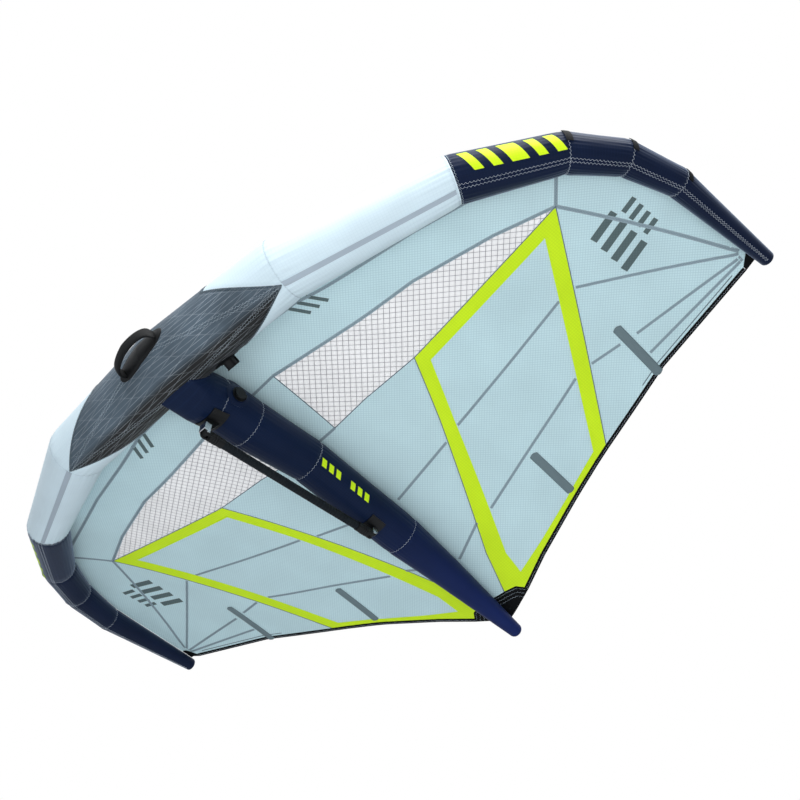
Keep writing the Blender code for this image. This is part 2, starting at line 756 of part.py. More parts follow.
def batten_outline(start_shares, end_shares):
    """A pocket with rounded ends, between two points given as shares."""
    start = Vector((start_shares[0] * HALF_SPAN, -start_shares[1] * CHORD))
    end = Vector((end_shares[0] * HALF_SPAN, -end_shares[1] * CHORD))
    along = (end - start).normalized()
    across = Vector((-along.y, along.x))
    radius = BATTEN_WIDTH / 2
    points = []
    for centre, first in ((start, math.pi / 2), (end, -math.pi / 2)):
        for step in range(BATTEN_END_STEPS + 1):
            turn = first + math.pi * step / BATTEN_END_STEPS
            reach = radius * BATTEN_END_SHARE * math.cos(turn)
            points.append(centre + along * reach + across * radius * math.sin(turn))
    return points


def build_strut_web(datum):
    """The upright strip that sews the canopy to the front of the strut."""
    loops = []
    for station in WEB_STATIONS:
        top = STRUT.point(station, 90, 0)
        low = top.z + GAP
        high = canopy_height(0, top.y) - CLOTH - WEB_TOP_GAP
        side = CLOTH / 2
        loops.append([
            Vector((-side, top.y, low)), Vector((side, top.y, low)),
            Vector((side, top.y, high)), Vector((-side, top.y, high)),
        ])
    loft("strut_web", loops, "navy_cloth", datum)


def handle_point(across, round_way, lift):
    """A point over the handle's place: along the span, round the tube and off its skin."""
    degrees = HANDLE_DEGREES + math.degrees(round_way / LEADING_RADIUS)
    point = LEADING.point(abs(across) / LEADING.centres[1].x, degrees, -lift)
    return Vector((math.copysign(point.x, across), point.y, point.z))


def build_handle(datum):
    """Base plate that hugs the tube, thin at its rim, and the arch on it."""
    under = []
    over = []
    for share, thick in HANDLE_RING_SHARES:
        ring = [math.tau * step / HANDLE_SIDES for step in range(HANDLE_SIDES)]
        reach = HANDLE_LENGTH / 2 * share
        width = HANDLE_WIDTH / 2 * share
        places = [(reach * math.cos(turn), width * math.sin(turn)) for turn in ring]
        under.append([handle_point(x, w, HANDLE_SEAT) for x, w in places])
        over.append([handle_point(x, w, HANDLE_SEAT + HANDLE_PLATE * thick) for x, w in places])
    loft("handle_base", under + over[::-1], "moulded_black", datum)
    build_arch(datum)


def squared(value):
    """A sine or cosine pushed towards its ends, for a section with fuller corners."""
    return math.copysign(abs(value) ** ARCH_SQUARE_SHARE, value)


def arch_loop(turn, size):
    """One section of the arch, at an angle over it and of a share of its full size."""
    across = ARCH_LENGTH / 2 * math.cos(turn)
    height = ARCH_HEIGHT * math.sin(turn) ** ARCH_CURVE_SHARE
    steepness = max(math.sin(turn), ARCH_LEAST_SHARE) ** (ARCH_CURVE_SHARE - 1)
    slope_x = -math.sin(turn) * ARCH_LENGTH / 2
    slope_h = ARCH_CURVE_SHARE * ARCH_HEIGHT * math.cos(turn) * steepness
    length = math.hypot(slope_x, slope_h)
    swell = (1 + ARCH_SWELL_SHARE * abs(math.cos(turn)) ** ARCH_SWELL_POWER) * size
    loop = []
    for step in range(ARCH_SIDES):
        angle = math.tau * step / ARCH_SIDES
        deep = squared(math.cos(angle)) * ARCH_DEPTH / 2 * swell
        wide = squared(math.sin(angle)) * ARCH_BREADTH / 2 * swell
        lift = HANDLE_SEAT + HANDLE_PLATE + GAP + max(height - deep * slope_x / length, 0)
        loop.append(handle_point(across + deep * slope_h / length, wide, lift))
    return loop


def build_arch(datum):
    """The arch the hand goes through, a flat strap bent over and seated on the plate."""
    loops = [arch_loop(0, size) for size in ARCH_END_SHARES[:-1]]
    loops += [arch_loop(math.pi * step / ARCH_STEPS, 1) for step in range(ARCH_STEPS + 1)]
    loops += [arch_loop(math.pi, size) for size in ARCH_END_SHARES[-2::-1]]
    loft("handle_grip", loops, "moulded_black", datum)


def saddle(name, station, datum):
    """A plate that hugs the strut's underside."""
    reach = SADDLE_LENGTH / 2
    loops = []
    first = -90 - SADDLE_HALF_DEGREES
    turns = [first + 2 * SADDLE_HALF_DEGREES * step / SADDLE_STEPS for step in range(SADDLE_STEPS + 1)]
    for shift in (-reach, 0, reach):
        near = [STRUT.point(station, turn, -SADDLE_SEAT, shift) for turn in turns]
        far = [STRUT.point(station, turn, -SADDLE_SEAT - SADDLE_THICKNESS, shift) for turn in turns[::-1]]
        loops.append(near + far)
    return loft(name, loops, "moulded_black", datum)


def post_outline(pin, rear_foot, front_foot):
    """Side view of the post: an eye round the pin that widens to its foot."""
    points = arc((pin.y, pin.z), EYE_RADIUS, 180, 360, ARC_STEPS)
    neck = pin.z + SOCKET_RADIUS + SLOT_BACK_GAP
    points.append((pin.y + EYE_RADIUS, neck))
    points += [(rear_foot.y, rear_foot.z), (front_foot.y, front_foot.z)]
    points.append((pin.y - EYE_RADIUS, neck))
    return points


def build_bracket(end, station, pin, datum):
    """Saddle, post and eye, all one moulding, under one end of the boom."""
    name = f"boom_bracket_{end}"
    body = saddle(name, station, datum)
    sunk = -SADDLE_SEAT - SADDLE_THICKNESS / 2
    reach = POST_FOOT_DEPTH / 2
    feet = [STRUT.point(station, -90, sunk, shift) for shift in (reach, -reach)]
    outline = post_outline(pin, *feet)
    post = extruded(f"{name}_post", outline, EYE_HALF_WIDTH, None, datum)
    combine(body, post, "UNION")
    hole = cross_hole(f"{name}_hole", datum, pin)
    combine(body, hole, "DIFFERENCE")


def cross_hole(name, parent, place):
    """A cutter for the pin's hole, along X."""
    radius = (PIN_RADIUS + PIN_CLEARANCE) / math.cos(math.pi / ROUND_SIDES)
    reach = LATCH_HALF_WIDTH + CUT_OVERRUN
    cutter = turned_solid(name, [(radius, -reach), (radius, reach)], None, parent)
    cutter.matrix_local = Matrix.Translation(place) @ Matrix.Rotation(math.pi / 2, 4, "Y")
    return cutter


def strut_station(ahead):
    """Station of the strut that lies this far ahead of its tail."""
    places = [-centre.y for centre in STRUT.centres]
    for index, (before, after) in enumerate(zip(places, places[1:])):
        if ahead >= after:
            return index + (before - ahead) / (before - after)
    return index


def pin_below(ahead, depth):
    underside = STRUT.point(strut_station(ahead), -90, 0)
    return Vector((0, -ahead, underside.z - depth))


def boom_pins():
    """The two pins: each hangs its depth below the strut, and they lie the boom's length apart."""
    reach = BOOM_LENGTH / 2
    for _ in range(BOOM_FIT_ROUNDS):
        front = pin_below(BOOM_PLACE_SHARE * CHORD + reach, FRONT_PIN_DEPTH)
        rear = pin_below(BOOM_PLACE_SHARE * CHORD - reach, REAR_PIN_DEPTH)
        reach *= BOOM_LENGTH / (rear - front).length
    return front, rear


FRONT_PIN, REAR_PIN = boom_pins()
BOOM_MIDDLE = (FRONT_PIN + REAR_PIN) / 2


def build_boom(datum):
    """Tube, grip, end fittings, pins and levers, along the tilted boom's own Y axis."""
    rising = REAR_PIN - FRONT_PIN
    tilt = Matrix.Rotation(math.atan2(rising.z, rising.y), 3, "X")
    boom = axis_empty("boom_axis", datum, BOOM_MIDDLE, tilt)
    lay_down = Matrix.Rotation(-math.pi / 2, 4, "X")
    tube_half = BOOM_LENGTH / 2 - SOCKET_START - (SOCKET_LENGTH - SOCKET_INSERT)
    inner = BOOM_TUBE_RADIUS - BOOM_TUBE_WALL
    profile = [(BOOM_TUBE_RADIUS, -tube_half), (BOOM_TUBE_RADIUS, tube_half)]
    profile += [(inner, tube_half), (inner, -tube_half)]
    tube = turned("boom_tube", profile, "boom_alloy", boom)
    tube.matrix_local = lay_down
    build_grip(boom, lay_down)
    ends = (("front", -1, LATCH_TOP_FRONT, FRONT_PIN), ("rear", 1, LATCH_TOP_REAR, REAR_PIN))
    for end, way, top, pin in ends:
        pin_place = Vector((0, way * BOOM_LENGTH / 2, 0))
        build_end_fitting(end, way, pin_place, boom)
        build_pin(end, pin_place, boom)
        build_latch(end, way, top, pin, datum)
        build_bracket(end, strut_station(-pin.y), pin, datum)


def build_grip(boom, lay_down):
    half = BOOM_LENGTH / 2 - SOCKET_START - SOCKET_LENGTH - GRIP_END_GAP
    inner = BOOM_TUBE_RADIUS + GAP
    edge = (BOOM_GRIP_RADIUS - inner) / 2
    profile = [
        (inner, -half), (BOOM_GRIP_RADIUS - edge, -half), (BOOM_GRIP_RADIUS, -half + edge),
        (BOOM_GRIP_RADIUS, half - edge), (BOOM_GRIP_RADIUS - edge, half), (inner, half),
    ]
    grip = turned("boom_grip_sleeve", profile, "grip_foam", boom)
    grip.matrix_local = lay_down


def build_end_fitting(end, way, pin_place, boom):
    """Socket over the tube's end, ribbed, and a fork that takes the bracket's eye."""
    name = f"boom_end_{end}"
    rear = SOCKET_START + SOCKET_LENGTH
    bore = BOOM_TUBE_RADIUS + GAP
    stop = rear - SOCKET_INSERT - GAP
    start = SOCKET_START - CUT_OVERRUN / 2
    profile = [(SOCKET_RADIUS, start), (SOCKET_RADIUS, SOCKET_START + RIB_LENGTH)]
    place = SOCKET_START + RIB_LENGTH
    for _ in range(RIB_COUNT):
        profile += [(RIB_RADIUS, place + RIB_LENGTH / 4), (RIB_RADIUS, place + RIB_LENGTH)]
        profile += [(SOCKET_RADIUS, place + RIB_LENGTH * 5 / 4), (SOCKET_RADIUS, place + RIB_LENGTH * 2)]
        place += RIB_LENGTH * 2
    profile += [(SOCKET_RADIUS, rear), (bore, rear), (bore, stop)]
    body = turned_solid(name, profile, "moulded_black", boom)
    facing = Matrix.Rotation(-way * -math.pi / 2, 4, "X")
    body.matrix_local = Matrix.Translation(pin_place) @ facing
    root = SOCKET_START + RIB_LENGTH / 2
    fork_outline = arc((0, 0), FORK_RADIUS, 90, 270, ARC_STEPS)
    fork_outline += [(root, -FORK_RADIUS), (root, FORK_RADIUS)]
    fork_outline = [(-way * y, z) for y, z in fork_outline]
    fork = extruded(f"{name}_fork", fork_outline, FORK_HALF_WIDTH, None, boom)
    fork.location = pin_place
    combine(body, fork, "UNION")
    back = EYE_RADIUS + SLOT_BACK_GAP
    ahead = FORK_RADIUS + CUT_OVERRUN
    slot_corners = ((-ahead, -ahead), (back, -ahead), (back, ahead), (-ahead, ahead))
    slot_outline = [(-way * y, z) for y, z in slot_corners]
    slot = extruded(f"{name}_slot", slot_outline, SLOT_HALF_WIDTH, None, boom)
    slot.location = pin_place
    combine(body, slot, "DIFFERENCE")
    combine(body, cross_hole(f"{name}_hole", boom, pin_place), "DIFFERENCE")


def build_pin(end, place, boom):
    """Cross pin with a head at each side, outside the lever's arms."""
    shank = LATCH_HALF_WIDTH + GAP
    tip = shank + PIN_HEAD_LENGTH
    profile = [
        (PIN_HEAD_RADIUS, -tip), (PIN_HEAD_RADIUS, -shank), (PIN_RADIUS, -shank),
        (PIN_RADIUS, shank), (PIN_HEAD_RADIUS, shank), (PIN_HEAD_RADIUS, tip),
    ]
    pin = turned_solid(f"boom_pin_{end}", profile, "steel", boom)
    pin.matrix_local = Matrix.Translation(place) @ Matrix.Rotation(math.pi / 2, 4, "Y")


def build_latch(end, way, top, pin, datum):
    """Steel channel on the cross pin that folds up over the post and locks it."""
    axis = axis_empty(f"boom_latch_{end}_axis", datum, pin, Matrix.Identity(3))
    outline = arc((0, 0), LATCH_EYE_RADIUS, 180, 360, ARC_STEPS)
    outline += [(LATCH_BACK, top), (-LATCH_REACH, top), (-LATCH_REACH, LATCH_EYE_RADIUS)]
    outline = [(-way * y, z) for y, z in outline]
    body = extruded(f"boom_latch_{end}", outline, LATCH_HALF_WIDTH, "steel", axis)
    low = -LATCH_EYE_RADIUS - CUT_OVERRUN
    high = top + CUT_OVERRUN
    front = -LATCH_REACH + LATCH_WALL
    back = LATCH_BACK + CUT_OVERRUN
    inside = [(-way * y, z) for y, z in ((front, low), (back, low), (back, high), (front, high))]
    space = extruded(f"boom_latch_{end}_space", inside, LATCH_HALF_WIDTH - LATCH_WALL, None, axis)
    combine(body, space, "DIFFERENCE")
    combine(body, cross_hole(f"boom_latch_{end}_hole", axis, Vector()), "DIFFERENCE")


def tube_frame(tube, station, degrees):
    """Place and turn of an empty on a tube's skin, its Z square to the skin, its X along the tube."""
    place = tube.point(station, degrees, 0)
    ahead = (tube.point(station + FRAME_STEP_STATION, degrees, 0) - place).normalized()
    index = min(int(station), len(tube.centres) - 2)
    turn = math.radians(degrees)
    out = math.cos(turn) * tube.across[index] + math.sin(turn) * tube.up[index]
    out = (out - ahead * out.dot(ahead)).normalized()
    return place, Matrix((ahead, out.cross(ahead), out)).transposed()


def build_valve(name, place, turn, stand, sleeves, datum):
    """Valve body through the sleeve, turning core in its bore, hinged cap on top."""
    axis = axis_empty(f"{name}_axis", datum, place, turn)
    deep = -VALVE_FLANGE_DEPTH
    rim = VALVE_RIM_LIFT + VALVE_RIM_THICKNESS
    profile = [
        (VALVE_BORE_RADIUS, deep - VALVE_FLANGE_THICKNESS),
        (VALVE_FLANGE_RADIUS, deep - VALVE_FLANGE_THICKNESS),
        (VALVE_FLANGE_RADIUS, deep), (VALVE_NECK_RADIUS, deep), (VALVE_NECK_RADIUS, VALVE_RIM_LIFT),
        (VALVE_RIM_RADIUS, VALVE_RIM_LIFT), (VALVE_RIM_RADIUS, rim), (VALVE_COLLAR_RADIUS, rim),
        (VALVE_COLLAR_RADIUS, stand), (VALVE_BORE_RADIUS, stand),
    ]
    body = turned(f"{name}_body", profile, "moulded_black", axis)
    hinge = Vector((VALVE_RIM_RADIUS - KNUCKLE_RADIUS, 0, stand + CAP_GAP + CAP_THICKNESS / 2))
    for way in (-1, 1):
        combine(body, valve_ear(f"{name}_ear_{way + 1}", way, hinge, rim, axis), "UNION")
    build_core(name, stand, axis)
    build_cap(name, hinge, stand, axis)
    radius = VALVE_NECK_RADIUS + VALVE_HOLE_CLEARANCE
    reach = VALVE_FLANGE_DEPTH + CUT_OVERRUN
    cutter = turned_solid(f"{name}_hole", [(radius, -reach), (radius, reach)], None, axis, HOLE_SIDES)
    for sleeve in sleeves:
        combine(sleeve, cutter, "DIFFERENCE")


def valve_ear(name, way, hinge, rim, axis):
    """One of the two upright ears beside the cap's knuckle."""
    near = KNUCKLE_HALF_LENGTH + GAP
    far = near + EAR_THICKNESS
    low = rim - VALVE_RIM_THICKNESS / 2
    inner_x = VALVE_COLLAR_RADIUS - EAR_OVERLAP
    outer_x = hinge.x + KNUCKLE_RADIUS
    outline = [(inner_x, low), (outer_x, low), (outer_x, hinge.z), (hinge.x, hinge.z + KNUCKLE_RADIUS)]
    outline += [(hinge.x - KNUCKLE_RADIUS, hinge.z), (inner_x, hinge.z - CAP_THICKNESS)]
    loops = [[Vector((x, way * y, z)) for x, z in outline] for y in (near, far)]
    return loft(name, loops, None, axis)


def build_core(name, stand, axis):
    """Core with a finger bar: a quarter turn frees it."""
    radius = VALVE_BORE_RADIUS - CORE_CLEARANCE
    top = stand - CAP_PLUG_LENGTH - CORE_BAR_GAP - CORE_BAR_HEIGHT
    turning = axis_empty(f"{name}_core_axis", axis, Vector((0, 0, top)), Matrix.Identity(3))
    hollow = radius / 2
    profile = [(radius, 0), (radius, -CORE_LENGTH), (hollow, -CORE_LENGTH), (hollow, -CORE_LENGTH / 3)]
    core = turned_solid(f"{name}_core", profile, "moulded_black", turning)
    bar_half = radius - CORE_CLEARANCE
    bar_top = bar_half * CORE_BAR_TOP_SHARE
    outline = [(-bar_half, -CAP_GAP), (bar_half, -CAP_GAP)]
    outline += [(bar_top, CORE_BAR_HEIGHT), (-bar_top, CORE_BAR_HEIGHT)]
    bar = extruded(f"{name}_core_bar", outline, CORE_BAR_WIDTH / 2, None, turning)
    combine(core, bar, "UNION")


def build_cap(name, hinge, stand, axis):
    """Disc with a plug below it and a knuckle at its edge."""
    turning = axis_empty(f"{name}_cap_axis", axis, hinge, Matrix.Identity(3))
    low = stand + CAP_GAP
    bevel = CAP_THICKNESS / 4
    profile = [
        (CAP_PLUG_RADIUS, low - CAP_PLUG_LENGTH), (CAP_PLUG_RADIUS, low), (CAP_RADIUS - bevel, low),
        (CAP_RADIUS, low + bevel), (CAP_RADIUS, low + CAP_THICKNESS - bevel),
        (CAP_RADIUS - bevel, low + CAP_THICKNESS),
    ]
    cap = turned_solid(f"{name}_cap", profile, "moulded_black", turning)
    cap.location = -hinge
    half = KNUCKLE_HALF_LENGTH
    outline = arc((hinge.x, hinge.z), KNUCKLE_RADIUS, -90, 90, ARC_STEPS)
    inner = CAP_RADIUS - CAP_THICKNESS
    bridge = KNUCKLE_RADIUS * KNUCKLE_BRIDGE_SHARE
    outline += [(inner, hinge.z + bridge), (inner, hinge.z - bridge)]
    loops = [[Vector((x, y, z)) for x, z in outline] for y in (-half, half)]
    knuckle = loft(f"{name}_cap_knuckle", loops, None, turning)
    knuckle.location = -hinge
    combine(cap, knuckle, "UNION")


def main():
    clear_scene()
    datum = axis_empty("tail_datum", None, -BOOM_MIDDLE, Matrix.Identity(3))
    centre = build_leading_sleeves(datum)
    leading_bladder = build_leading_bladder(datum)
    strut_sleeve = build_strut_sleeves(datum)
    strut_bladder = build_strut_bladder(datum)
    build_strut_web(datum)
    build_canopy(datum)
    build_handle(datum)
    build_boom(datum)
    place, turn = tube_frame(LEADING, LEADING_VALVE_STATION, LEADING_VALVE_DEGREES)
    sleeves = (centre, leading_bladder)
    build_valve("leading_edge_valve", place, turn, LEADING_VALVE_STAND, sleeves, datum)
    place, turn = tube_frame(STRUT, STRUT_VALVE_STATION, STRUT_VALVE_DEGREES)
    sleeves = (strut_sleeve, strut_bladder)
    build_valve("strut_valve", place, turn, STRUT_VALVE_STAND, sleeves, datum)


main()
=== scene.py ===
# %% [markdown]
# # An inflatable hand wing, sewn and pumped up in Blender
#
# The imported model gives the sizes: stiff solids in metres, in their places. This lesson dresses it.
# Hard parts keep their solids and get a finish. Everything sewn is made again here as thin cloth on
# the same surfaces, because cloth shows its seams, its thread and the pull of the air inside.

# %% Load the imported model
import json
import math

import bmesh
import bpy
import numpy as np
from mathutils import Matrix, Vector

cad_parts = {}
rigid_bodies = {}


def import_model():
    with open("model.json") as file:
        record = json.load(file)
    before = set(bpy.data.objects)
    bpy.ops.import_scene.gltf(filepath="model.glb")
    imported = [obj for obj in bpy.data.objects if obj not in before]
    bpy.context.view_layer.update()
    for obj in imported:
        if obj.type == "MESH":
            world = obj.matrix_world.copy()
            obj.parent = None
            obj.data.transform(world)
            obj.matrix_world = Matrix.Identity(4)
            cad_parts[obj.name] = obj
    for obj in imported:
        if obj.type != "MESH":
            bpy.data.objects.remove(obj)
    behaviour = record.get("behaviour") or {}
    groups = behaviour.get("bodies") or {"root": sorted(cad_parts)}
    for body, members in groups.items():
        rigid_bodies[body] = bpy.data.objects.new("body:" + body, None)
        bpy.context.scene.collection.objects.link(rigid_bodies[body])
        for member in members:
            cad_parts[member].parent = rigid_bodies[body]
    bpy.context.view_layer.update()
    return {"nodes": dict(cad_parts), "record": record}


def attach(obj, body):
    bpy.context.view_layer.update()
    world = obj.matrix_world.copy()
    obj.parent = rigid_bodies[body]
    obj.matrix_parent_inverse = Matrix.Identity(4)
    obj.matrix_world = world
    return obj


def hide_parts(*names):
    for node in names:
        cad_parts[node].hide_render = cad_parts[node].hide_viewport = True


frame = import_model()

# %% [markdown]
# ## Where the picture is taken from
#
# The wing is seen from below, in front and to one side. A camera is a place and three directions, and
# writing them as the columns of one matrix keeps them square to each other. All places further on are
# first given from the tail of the strut, as a sailmaker's plan is, and TAIL moves them to the boom.

# %% Camera
TAIL = np.array((0.0, 1.0585, 0.0797))
CAMERA_PLACE = Vector((2.201, -1.6115, -2.8893))
CAMERA_RIGHT = Vector((0.7056, 0.7082, 0.0245)).normalized()
CAMERA_BACK = Vector((0.4591, -0.4305, -0.7771)).normalized()
CAMERA_UP = CAMERA_BACK.cross(CAMERA_RIGHT).normalized()

FILM_WIDTH_MM = 36.0
FOCAL_LENGTH_MM = 56.25
FARTHEST = 60.0


def add_object(name, data):
    made = bpy.data.objects.new(name, data)
    bpy.context.scene.collection.objects.link(made)
    return made


camera_data = bpy.data.cameras.new("picture_camera")
camera_data.sensor_width = FILM_WIDTH_MM
camera_data.lens = FOCAL_LENGTH_MM
camera_data.clip_end = FARTHEST
camera = add_object("picture_camera", camera_data)
turn = Matrix((CAMERA_RIGHT, CAMERA_UP, CAMERA_RIGHT.cross(CAMERA_UP))).transposed().to_4x4()
camera.matrix_world = Matrix.Translation(CAMERA_PLACE) @ turn
bpy.context.scene.camera = camera
bpy.context.scene.view_settings.view_transform = "Standard"
print("camera looks along", [round(v, 3) for v in -CAMERA_BACK])

# %% [markdown]
# ## Light
#
# The wing hangs in open air, so the sky lights it from every side and three wide lamps give it form.
# The white behind it is only what the camera sees, past the cloth or through a film. The sky that
# lights the cloth is dimmer: weak behind the camera and stronger behind the wing, so edges stand out.
# Sky and finishes are node trees, so three small helpers come first: one adds a node, one feeds a
# socket with a number or a link, and one does a sum.

# %% Node helpers
def add_node(tree, kind, **settings):
    node = tree.nodes.new(kind)
    for key, value in settings.items():
        setattr(node, key, value)
    return node


def feed(tree, socket, value):
    if isinstance(value, bpy.types.NodeSocket):
        tree.links.new(value, socket)
    else:
        socket.default_value = value


def calc(tree, operation, *values):
    node = add_node(tree, "ShaderNodeMath", operation=operation)
    for socket, value in zip(node.inputs, values):
        feed(tree, socket, value)
    return node.outputs[0]


def map_range(tree, value, low, high, to_low=0.0, to_high=1.0, shape="LINEAR"):
    """Stretch a number that runs from low to high, so that it runs between two others."""
    node = add_node(tree, "ShaderNodeMapRange", interpolation_type=shape)
    ends = {"Value": value, "From Min": low, "From Max": high, "To Min": to_low, "To Max": to_high}
    for label, number in ends.items():
        feed(tree, node.inputs[label], number)
    return node.outputs["Result"]


# %% Sky, lamps and floor
WHITE = (1.0, 1.0, 1.0, 1.0)
SKY_TINT = (0.93, 0.96, 1.0, 1.0)
SKY_LIGHT = (0.14, 0.66)
SKY_SHINE = (0.02, 1.0)
SKY_LOW, SKY_HIGH = -0.5, 0.7
SKY_BRIGHT_WAY = (0.55 * CAMERA_UP - 0.85 * CAMERA_BACK).normalized()
WING_MIDDLE = Vector((0.0, 0.15, 0.2))
FLOOR_HEIGHT, FLOOR_REACH = -3.6, 9.0


def make_sky():
    """White to the eye; as a light or in a shine, weak behind the camera and strong behind the wing."""
    world = bpy.data.worlds.new("open_sky")
    world.use_nodes = True
    tree = world.node_tree
    tree.nodes.clear()
    path = add_node(tree, "ShaderNodeLightPath")
    seen = calc(tree, "MAXIMUM", path.outputs["Is Camera Ray"], path.outputs["Is Transmission Ray"])
    facing = add_node(tree, "ShaderNodeVectorMath", operation="DOT_PRODUCT")
    feed(tree, facing.inputs[0], add_node(tree, "ShaderNodeTexCoord").outputs["Generated"])
    feed(tree, facing.inputs[1], SKY_BRIGHT_WAY)
    chosen = add_node(tree, "ShaderNodeMix")
    feed(tree, chosen.inputs[0], path.outputs["Is Glossy Ray"])
    for socket, (near, far) in ((chosen.inputs[2], SKY_LIGHT), (chosen.inputs[3], SKY_SHINE)):
        mapped = map_range(tree, facing.outputs["Value"], SKY_LOW, SKY_HIGH, near, far, "SMOOTHSTEP")
        feed(tree, socket, mapped)
    lit = add_node(tree, "ShaderNodeBackground")
    feed(tree, lit.inputs["Color"], SKY_TINT)
    feed(tree, lit.inputs["Strength"], chosen.outputs[0])
    shown = add_node(tree, "ShaderNodeBackground")
    feed(tree, shown.inputs["Color"], WHITE)
    mixed = add_node(tree, "ShaderNodeMixShader")
    for socket, value in zip(mixed.inputs, (seen, lit.outputs[0], shown.outputs[0])):
        feed(tree, socket, value)
    feed(tree, add_node(tree, "ShaderNodeOutputWorld").inputs["Surface"], mixed.outputs[0])
    bpy.context.scene.world = world


def soft_lamp(name, away, width, watts):
    """A square lamp that faces the middle of the wing, at a place given from there."""
    data = bpy.data.lights.new(name, "AREA")
    data.shape = "SQUARE"
    data.size = width
    data.energy = watts
    lamp = add_object(name, data)
    lamp.location = WING_MIDDLE + away
    lamp.rotation_mode = "QUATERNION"
    lamp.rotation_quaternion = (-away).to_track_quat("-Z", "Y")
    return lamp


def lay_floor():
    """A pale floor far below the wing, for light that comes back up."""
    reach, height = FLOOR_REACH, FLOOR_HEIGHT
    corners = [(x * reach, y * reach, height) for x, y in ((-1, -1), (1, -1), (1, 1), (-1, 1))]
    mesh = bpy.data.meshes.new("studio_floor")
    mesh.from_pydata(corners, [], [(0, 1, 2, 3)])
    paint = bpy.data.materials.new("floor_paint")
    paint.use_nodes = True
    shader = paint.node_tree.nodes["Principled BSDF"]
    shader.inputs["Base Color"].default_value = (0.86, 0.87, 0.88, 1.0)
    shader.inputs["Roughness"].default_value = 0.9
    mesh.materials.append(paint)
    add_object("studio_floor", mesh)


make_sky()
soft_lamp("front_lamp", Vector((1.9, -3.8, 1.5)), 2.4, 120)
soft_lamp("rim_lamp", 4.2 * CAMERA_UP + 1.4 * CAMERA_RIGHT - 0.3 * CAMERA_BACK, 2.4, 140)
low_lamp = soft_lamp("low_lamp", 4.5 * CAMERA_BACK - 1.0 * CAMERA_UP, 3.5, 250)
low_lamp.visible_glossy = False
lay_floor()

# %% [markdown]
# ## Shader groups that several cloths share
#
# Sailcloth has three things that repeat in every colour: a grid of thicker threads, a fine weave and
# the soft patchiness of handled cloth. Each is a node group with named inputs, so one cloth differs
# from the next by its numbers and not by its wiring. Groups hand out values only; the surface
# shader stays in each material.

# %% Shader helpers
def new_group(name, inputs, outputs):
    tree = bpy.data.node_groups.new(name, "ShaderNodeTree")
    for label, kind, value in inputs:
        socket = tree.interface.new_socket(label, in_out="INPUT", socket_type=kind)
        if value is not None:
            socket.default_value = value
    for label, kind in outputs:
        tree.interface.new_socket(label, in_out="OUTPUT", socket_type=kind)
    return tree, tree.nodes.new("NodeGroupInput"), tree.nodes.new("NodeGroupOutput")


def use_group(tree, group, **values):
    node = add_node(tree, "ShaderNodeGroup", node_tree=group)
    for label, value in values.items():
        feed(tree, node.inputs[label.replace("_", " ")], value)
    return node.outputs


# %% Thread grid, weave and handling
def make_thread_grid():
    """Mask of a square grid of lines on the first two numbers of a vector, in metres."""
    tree, entry, leave = new_group(
        "thread grid",
        [("Vector", "NodeSocketVector", None), ("Pitch", "NodeSocketFloat", 0.006),
         ("Line", "NodeSocketFloat", 0.0008)],
        [("Mask", "NodeSocketFloat")],
    )
    parts = add_node(tree, "ShaderNodeSeparateXYZ")
    tree.links.new(entry.outputs["Vector"], parts.inputs[0])
    masks = []
    for axis in ("X", "Y"):
        share = calc(tree, "DIVIDE", parts.outputs[axis], entry.outputs["Pitch"])
        away = calc(tree, "ABSOLUTE", calc(tree, "SUBTRACT", calc(tree, "FRACT", share), 0.5))
        distance = calc(tree, "MULTIPLY", away, entry.outputs["Pitch"])
        edge = calc(tree, "DIVIDE", distance, entry.outputs["Line"])
        masks.append(calc(tree, "SUBTRACT", 1.25, edge))
    both = add_node(tree, "ShaderNodeMath", operation="MAXIMUM", use_clamp=True)
    feed(tree, both.inputs[0], masks[0])
    feed(tree, both.inputs[1], masks[1])
    tree.links.new(both.outputs[0], leave.inputs["Mask"])
    return tree


def make_weave():
    """Height of a plain weave: threads that pass over and under in turn."""
    tree, entry, leave = new_group(
        "plain weave",
        [("Vector", "NodeSocketVector", None), ("Pitch", "NodeSocketFloat", 0.002)],
        [("Height", "NodeSocketFloat")],
    )
    parts = add_node(tree, "ShaderNodeSeparateXYZ")
    tree.links.new(entry.outputs["Vector"], parts.inputs[0])
    waves = []
    for axis in ("X", "Y"):
        share = calc(tree, "DIVIDE", parts.outputs[axis], entry.outputs["Pitch"])
        waves.append(calc(tree, "SINE", calc(tree, "MULTIPLY", share, math.tau)))
    tree.links.new(calc(tree, "MULTIPLY", *waves), leave.inputs["Height"])
    return tree


def make_handling():
    """Soft patches, as cloth and rubber get from hands, salt and folding."""
    tree, entry, leave = new_group(
        "handling marks",
        [("Vector", "NodeSocketVector", None), ("Scale", "NodeSocketFloat", 6.0),
         ("Low", "NodeSocketFloat", 0.92), ("High", "NodeSocketFloat", 1.05)],
        [("Value", "NodeSocketFloat")],
    )
    noise = add_node(tree, "ShaderNodeTexNoise")
    noise.inputs["Detail"].default_value = 4.0
    tree.links.new(entry.outputs["Vector"], noise.inputs["Vector"])
    tree.links.new(entry.outputs["Scale"], noise.inputs["Scale"])
    spread = map_range(tree, noise.outputs["Fac"], 0.3, 0.7, entry.outputs["Low"], entry.outputs["High"])
    tree.links.new(spread, leave.inputs["Value"])
    return tree


THREAD_GRID = make_thread_grid()
WEAVE = make_weave()
HANDLING = make_handling()
print("shader groups:", [group.name for group in (THREAD_GRID, WEAVE, HANDLING)])

# %% [markdown]
# ## The finishes
#
# Colours are written as they look in the picture and turned into Blender's linear numbers here. A
# cloth reads its own UV map, which is laid out in metres, so a 9 mm grid is a 9 mm grid on every
# panel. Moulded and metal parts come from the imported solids, which have no UV map, so they read
# Object coordinates, which are metres as well.

